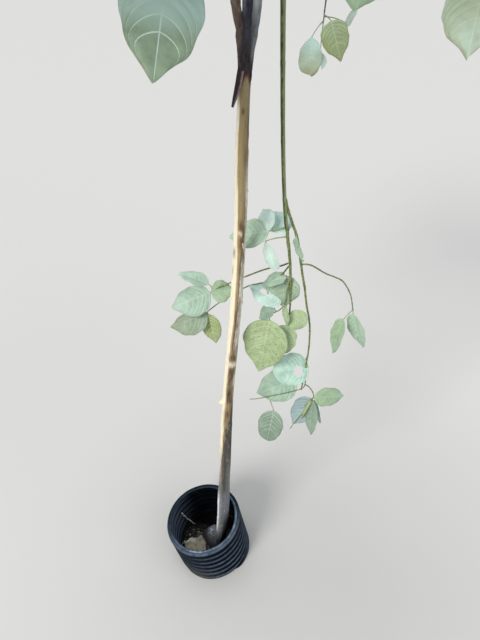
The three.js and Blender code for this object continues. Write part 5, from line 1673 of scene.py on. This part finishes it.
def icosphere(fine=True):
    t = (1 + 5 ** 0.5) / 2
    v = np.array([(-1, t, 0), (1, t, 0), (-1, -t, 0), (1, -t, 0), (0, -1, t), (0, 1, t), (0, -1, -t), (0, 1, -t), (t, 0, -1), (t, 0, 1), (-t, 0, -1), (-t, 0, 1)], float)
    v /= np.linalg.norm(v[0])
    f = [(0, 11, 5), (0, 5, 1), (0, 1, 7), (0, 7, 10), (0, 10, 11), (1, 5, 9), (5, 11, 4), (11, 10, 2), (10, 7, 6), (7, 1, 8), (3, 9, 4), (3, 4, 2), (3, 2, 6), (3, 6, 8), (3, 8, 9), (4, 9, 5), (2, 4, 11), (6, 2, 10), (8, 6, 7), (9, 8, 1)]
    if not fine:
        return v, np.array(f)
    out, cache = list(map(tuple, v)), {}
    faces = []
    def half(a, b):
        key = (min(a, b), max(a, b))
        if key not in cache:
            m = unit((np.array(out[a]) + np.array(out[b])) / 2)
            out.append(tuple(m))
            cache[key] = len(out) - 1
        return cache[key]
    for a, b, c in f:
        ab, bc, ca = half(a, b), half(b, c), half(c, a)
        faces += [(a, ab, ca), (b, bc, ab), (c, ca, bc), (ab, bc, ca)]
    return np.array(out), np.array(faces)


def soil_material(name, base=None, dark=None, light=None):
    """Crumbly earth; without a colour of its own it takes the mesh's."""
    m, nt, b = material(name, 0.95, 0.2)
    n = noise_node(nt, 210, 6, 0.7)
    if base is None:
        own = attribute(nt, "tint").outputs["Color"]
        f = ramp(nt, n.outputs["Fac"], [(0.3, (0.42, 0.42, 0.42)), (0.5, (1, 1, 1)), (0.72, (1.9, 1.9, 1.9))])
        c = mix(nt, 1.0, own, f.outputs["Color"], "MULTIPLY")
        nt.links.new(c, b.inputs["Base Color"])
    else:
        c = ramp(nt, n.outputs["Fac"], [(0.3, dark), (0.5, base), (0.75, light)])
        nt.links.new(c.outputs["Color"], b.inputs["Base Color"])
    bump(nt, b, n.outputs["Fac"], 0.6, 0.0015)
    return m


# ------------------------------------------------------------------ build

trunk = build_trunk()
limbs = build_limbs()
foliage = build_foliage()
collar = build_collar()
soil_geo, bits_geo = build_soil()
MAT_SOIL = soil_material("dark_soil")
MAT_BITS = soil_material("litter_bits", lin(118, 112, 106), lin(76, 72, 68), lin(160, 152, 144))
MAT_STRAW = soil_material("pale_bits", lin(204, 200, 192), lin(164, 158, 150), lin(232, 228, 220))
MAT_DRY = stem_material("dry_leaf", 0.2)
soil = soil_geo.make("soil_surface", [MAT_SOIL])
crumbs = bits_geo.make("soil_crumbs", [MAT_SOIL, MAT_BITS, MAT_STRAW])
litter_geo = build_litter()
litter = litter_geo.make("soil_litter", [MAT_DRY], {"bark": np.ones(litter_geo.n)})

for ob in (trunk, limbs, collar, soil, crumbs, litter, *(o for o, _ in foliage)):
    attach(ob, "root")
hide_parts("trunk")
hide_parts(*[row[0] for row in LIMBS])
for ob, nodes in foliage:
    if nodes:
        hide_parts(*nodes)
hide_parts("collar")
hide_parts("soil")

# ------------------------------------------------------------------ stage

floor_mesh = bpy.data.meshes.new("floor")
floor_mesh.from_pydata([(-60, -40, 0), (60, -40, 0), (60, 90, 0), (-60, 90, 0)], [], [(0, 1, 2, 3)])
floor = bpy.data.objects.new("floor", floor_mesh)
bpy.context.scene.collection.objects.link(floor)
fm, fnt, fb = material("floor", 0.9, 0.1)
fb.inputs["Base Color"].default_value = (0.60, 0.592, 0.577, 1)
floor_mesh.materials.append(fm)

world = bpy.data.worlds.new("studio")
bpy.context.scene.world = world
world.use_nodes = True
bg = world.node_tree.nodes["Background"]
bg.inputs["Color"].default_value = (0.93, 0.96, 1.0, 1)
bg.inputs["Strength"].default_value = 0.46


def sun(name, azimuth, height, angle, power, colour=(1, 1, 1)):
    """A very broad soft lamp far off: where it stands, as seen from the plant."""
    lamp = bpy.data.lights.new(name, "SUN")
    lamp.angle = angle * RAD
    lamp.energy = power
    lamp.color = colour
    ob = bpy.data.objects.new(name, lamp)
    d = Vector((math.cos(height * RAD) * math.cos(azimuth * RAD), math.cos(height * RAD) * math.sin(azimuth * RAD), math.sin(height * RAD)))
    ob.location = d * 3
    ob.rotation_euler = d.to_track_quat("Z", "Y").to_euler()
    bpy.context.scene.collection.objects.link(ob)
    return ob


sun("key", 232, 36, 24, 2.1, (1.0, 0.98, 0.94))
sun("fill", 322, 44, 50, 0.6, (0.95, 0.97, 1.0))
sun("top", 150, 80, 34, 1.0, (0.96, 0.98, 1.0))

cam_data = bpy.data.cameras.new("camera")
cam_data.sensor_fit = "AUTO"
cam_data.sensor_width = 36.0
cam_data.lens = 36.0 * 462.0 / 640.0
cam_data.clip_start = 0.02
cam_data.clip_end = 200.0
cam = bpy.data.objects.new("camera", cam_data)
cam.location = (0.0616, -0.5806, 1.180)
cam.rotation_euler = ((90 - 38) * RAD, 0, 0)
bpy.context.scene.collection.objects.link(cam)
bpy.context.scene.camera = cam

bpy.context.scene.view_settings.view_transform = "Standard"
bpy.context.scene.view_settings.look = "None"
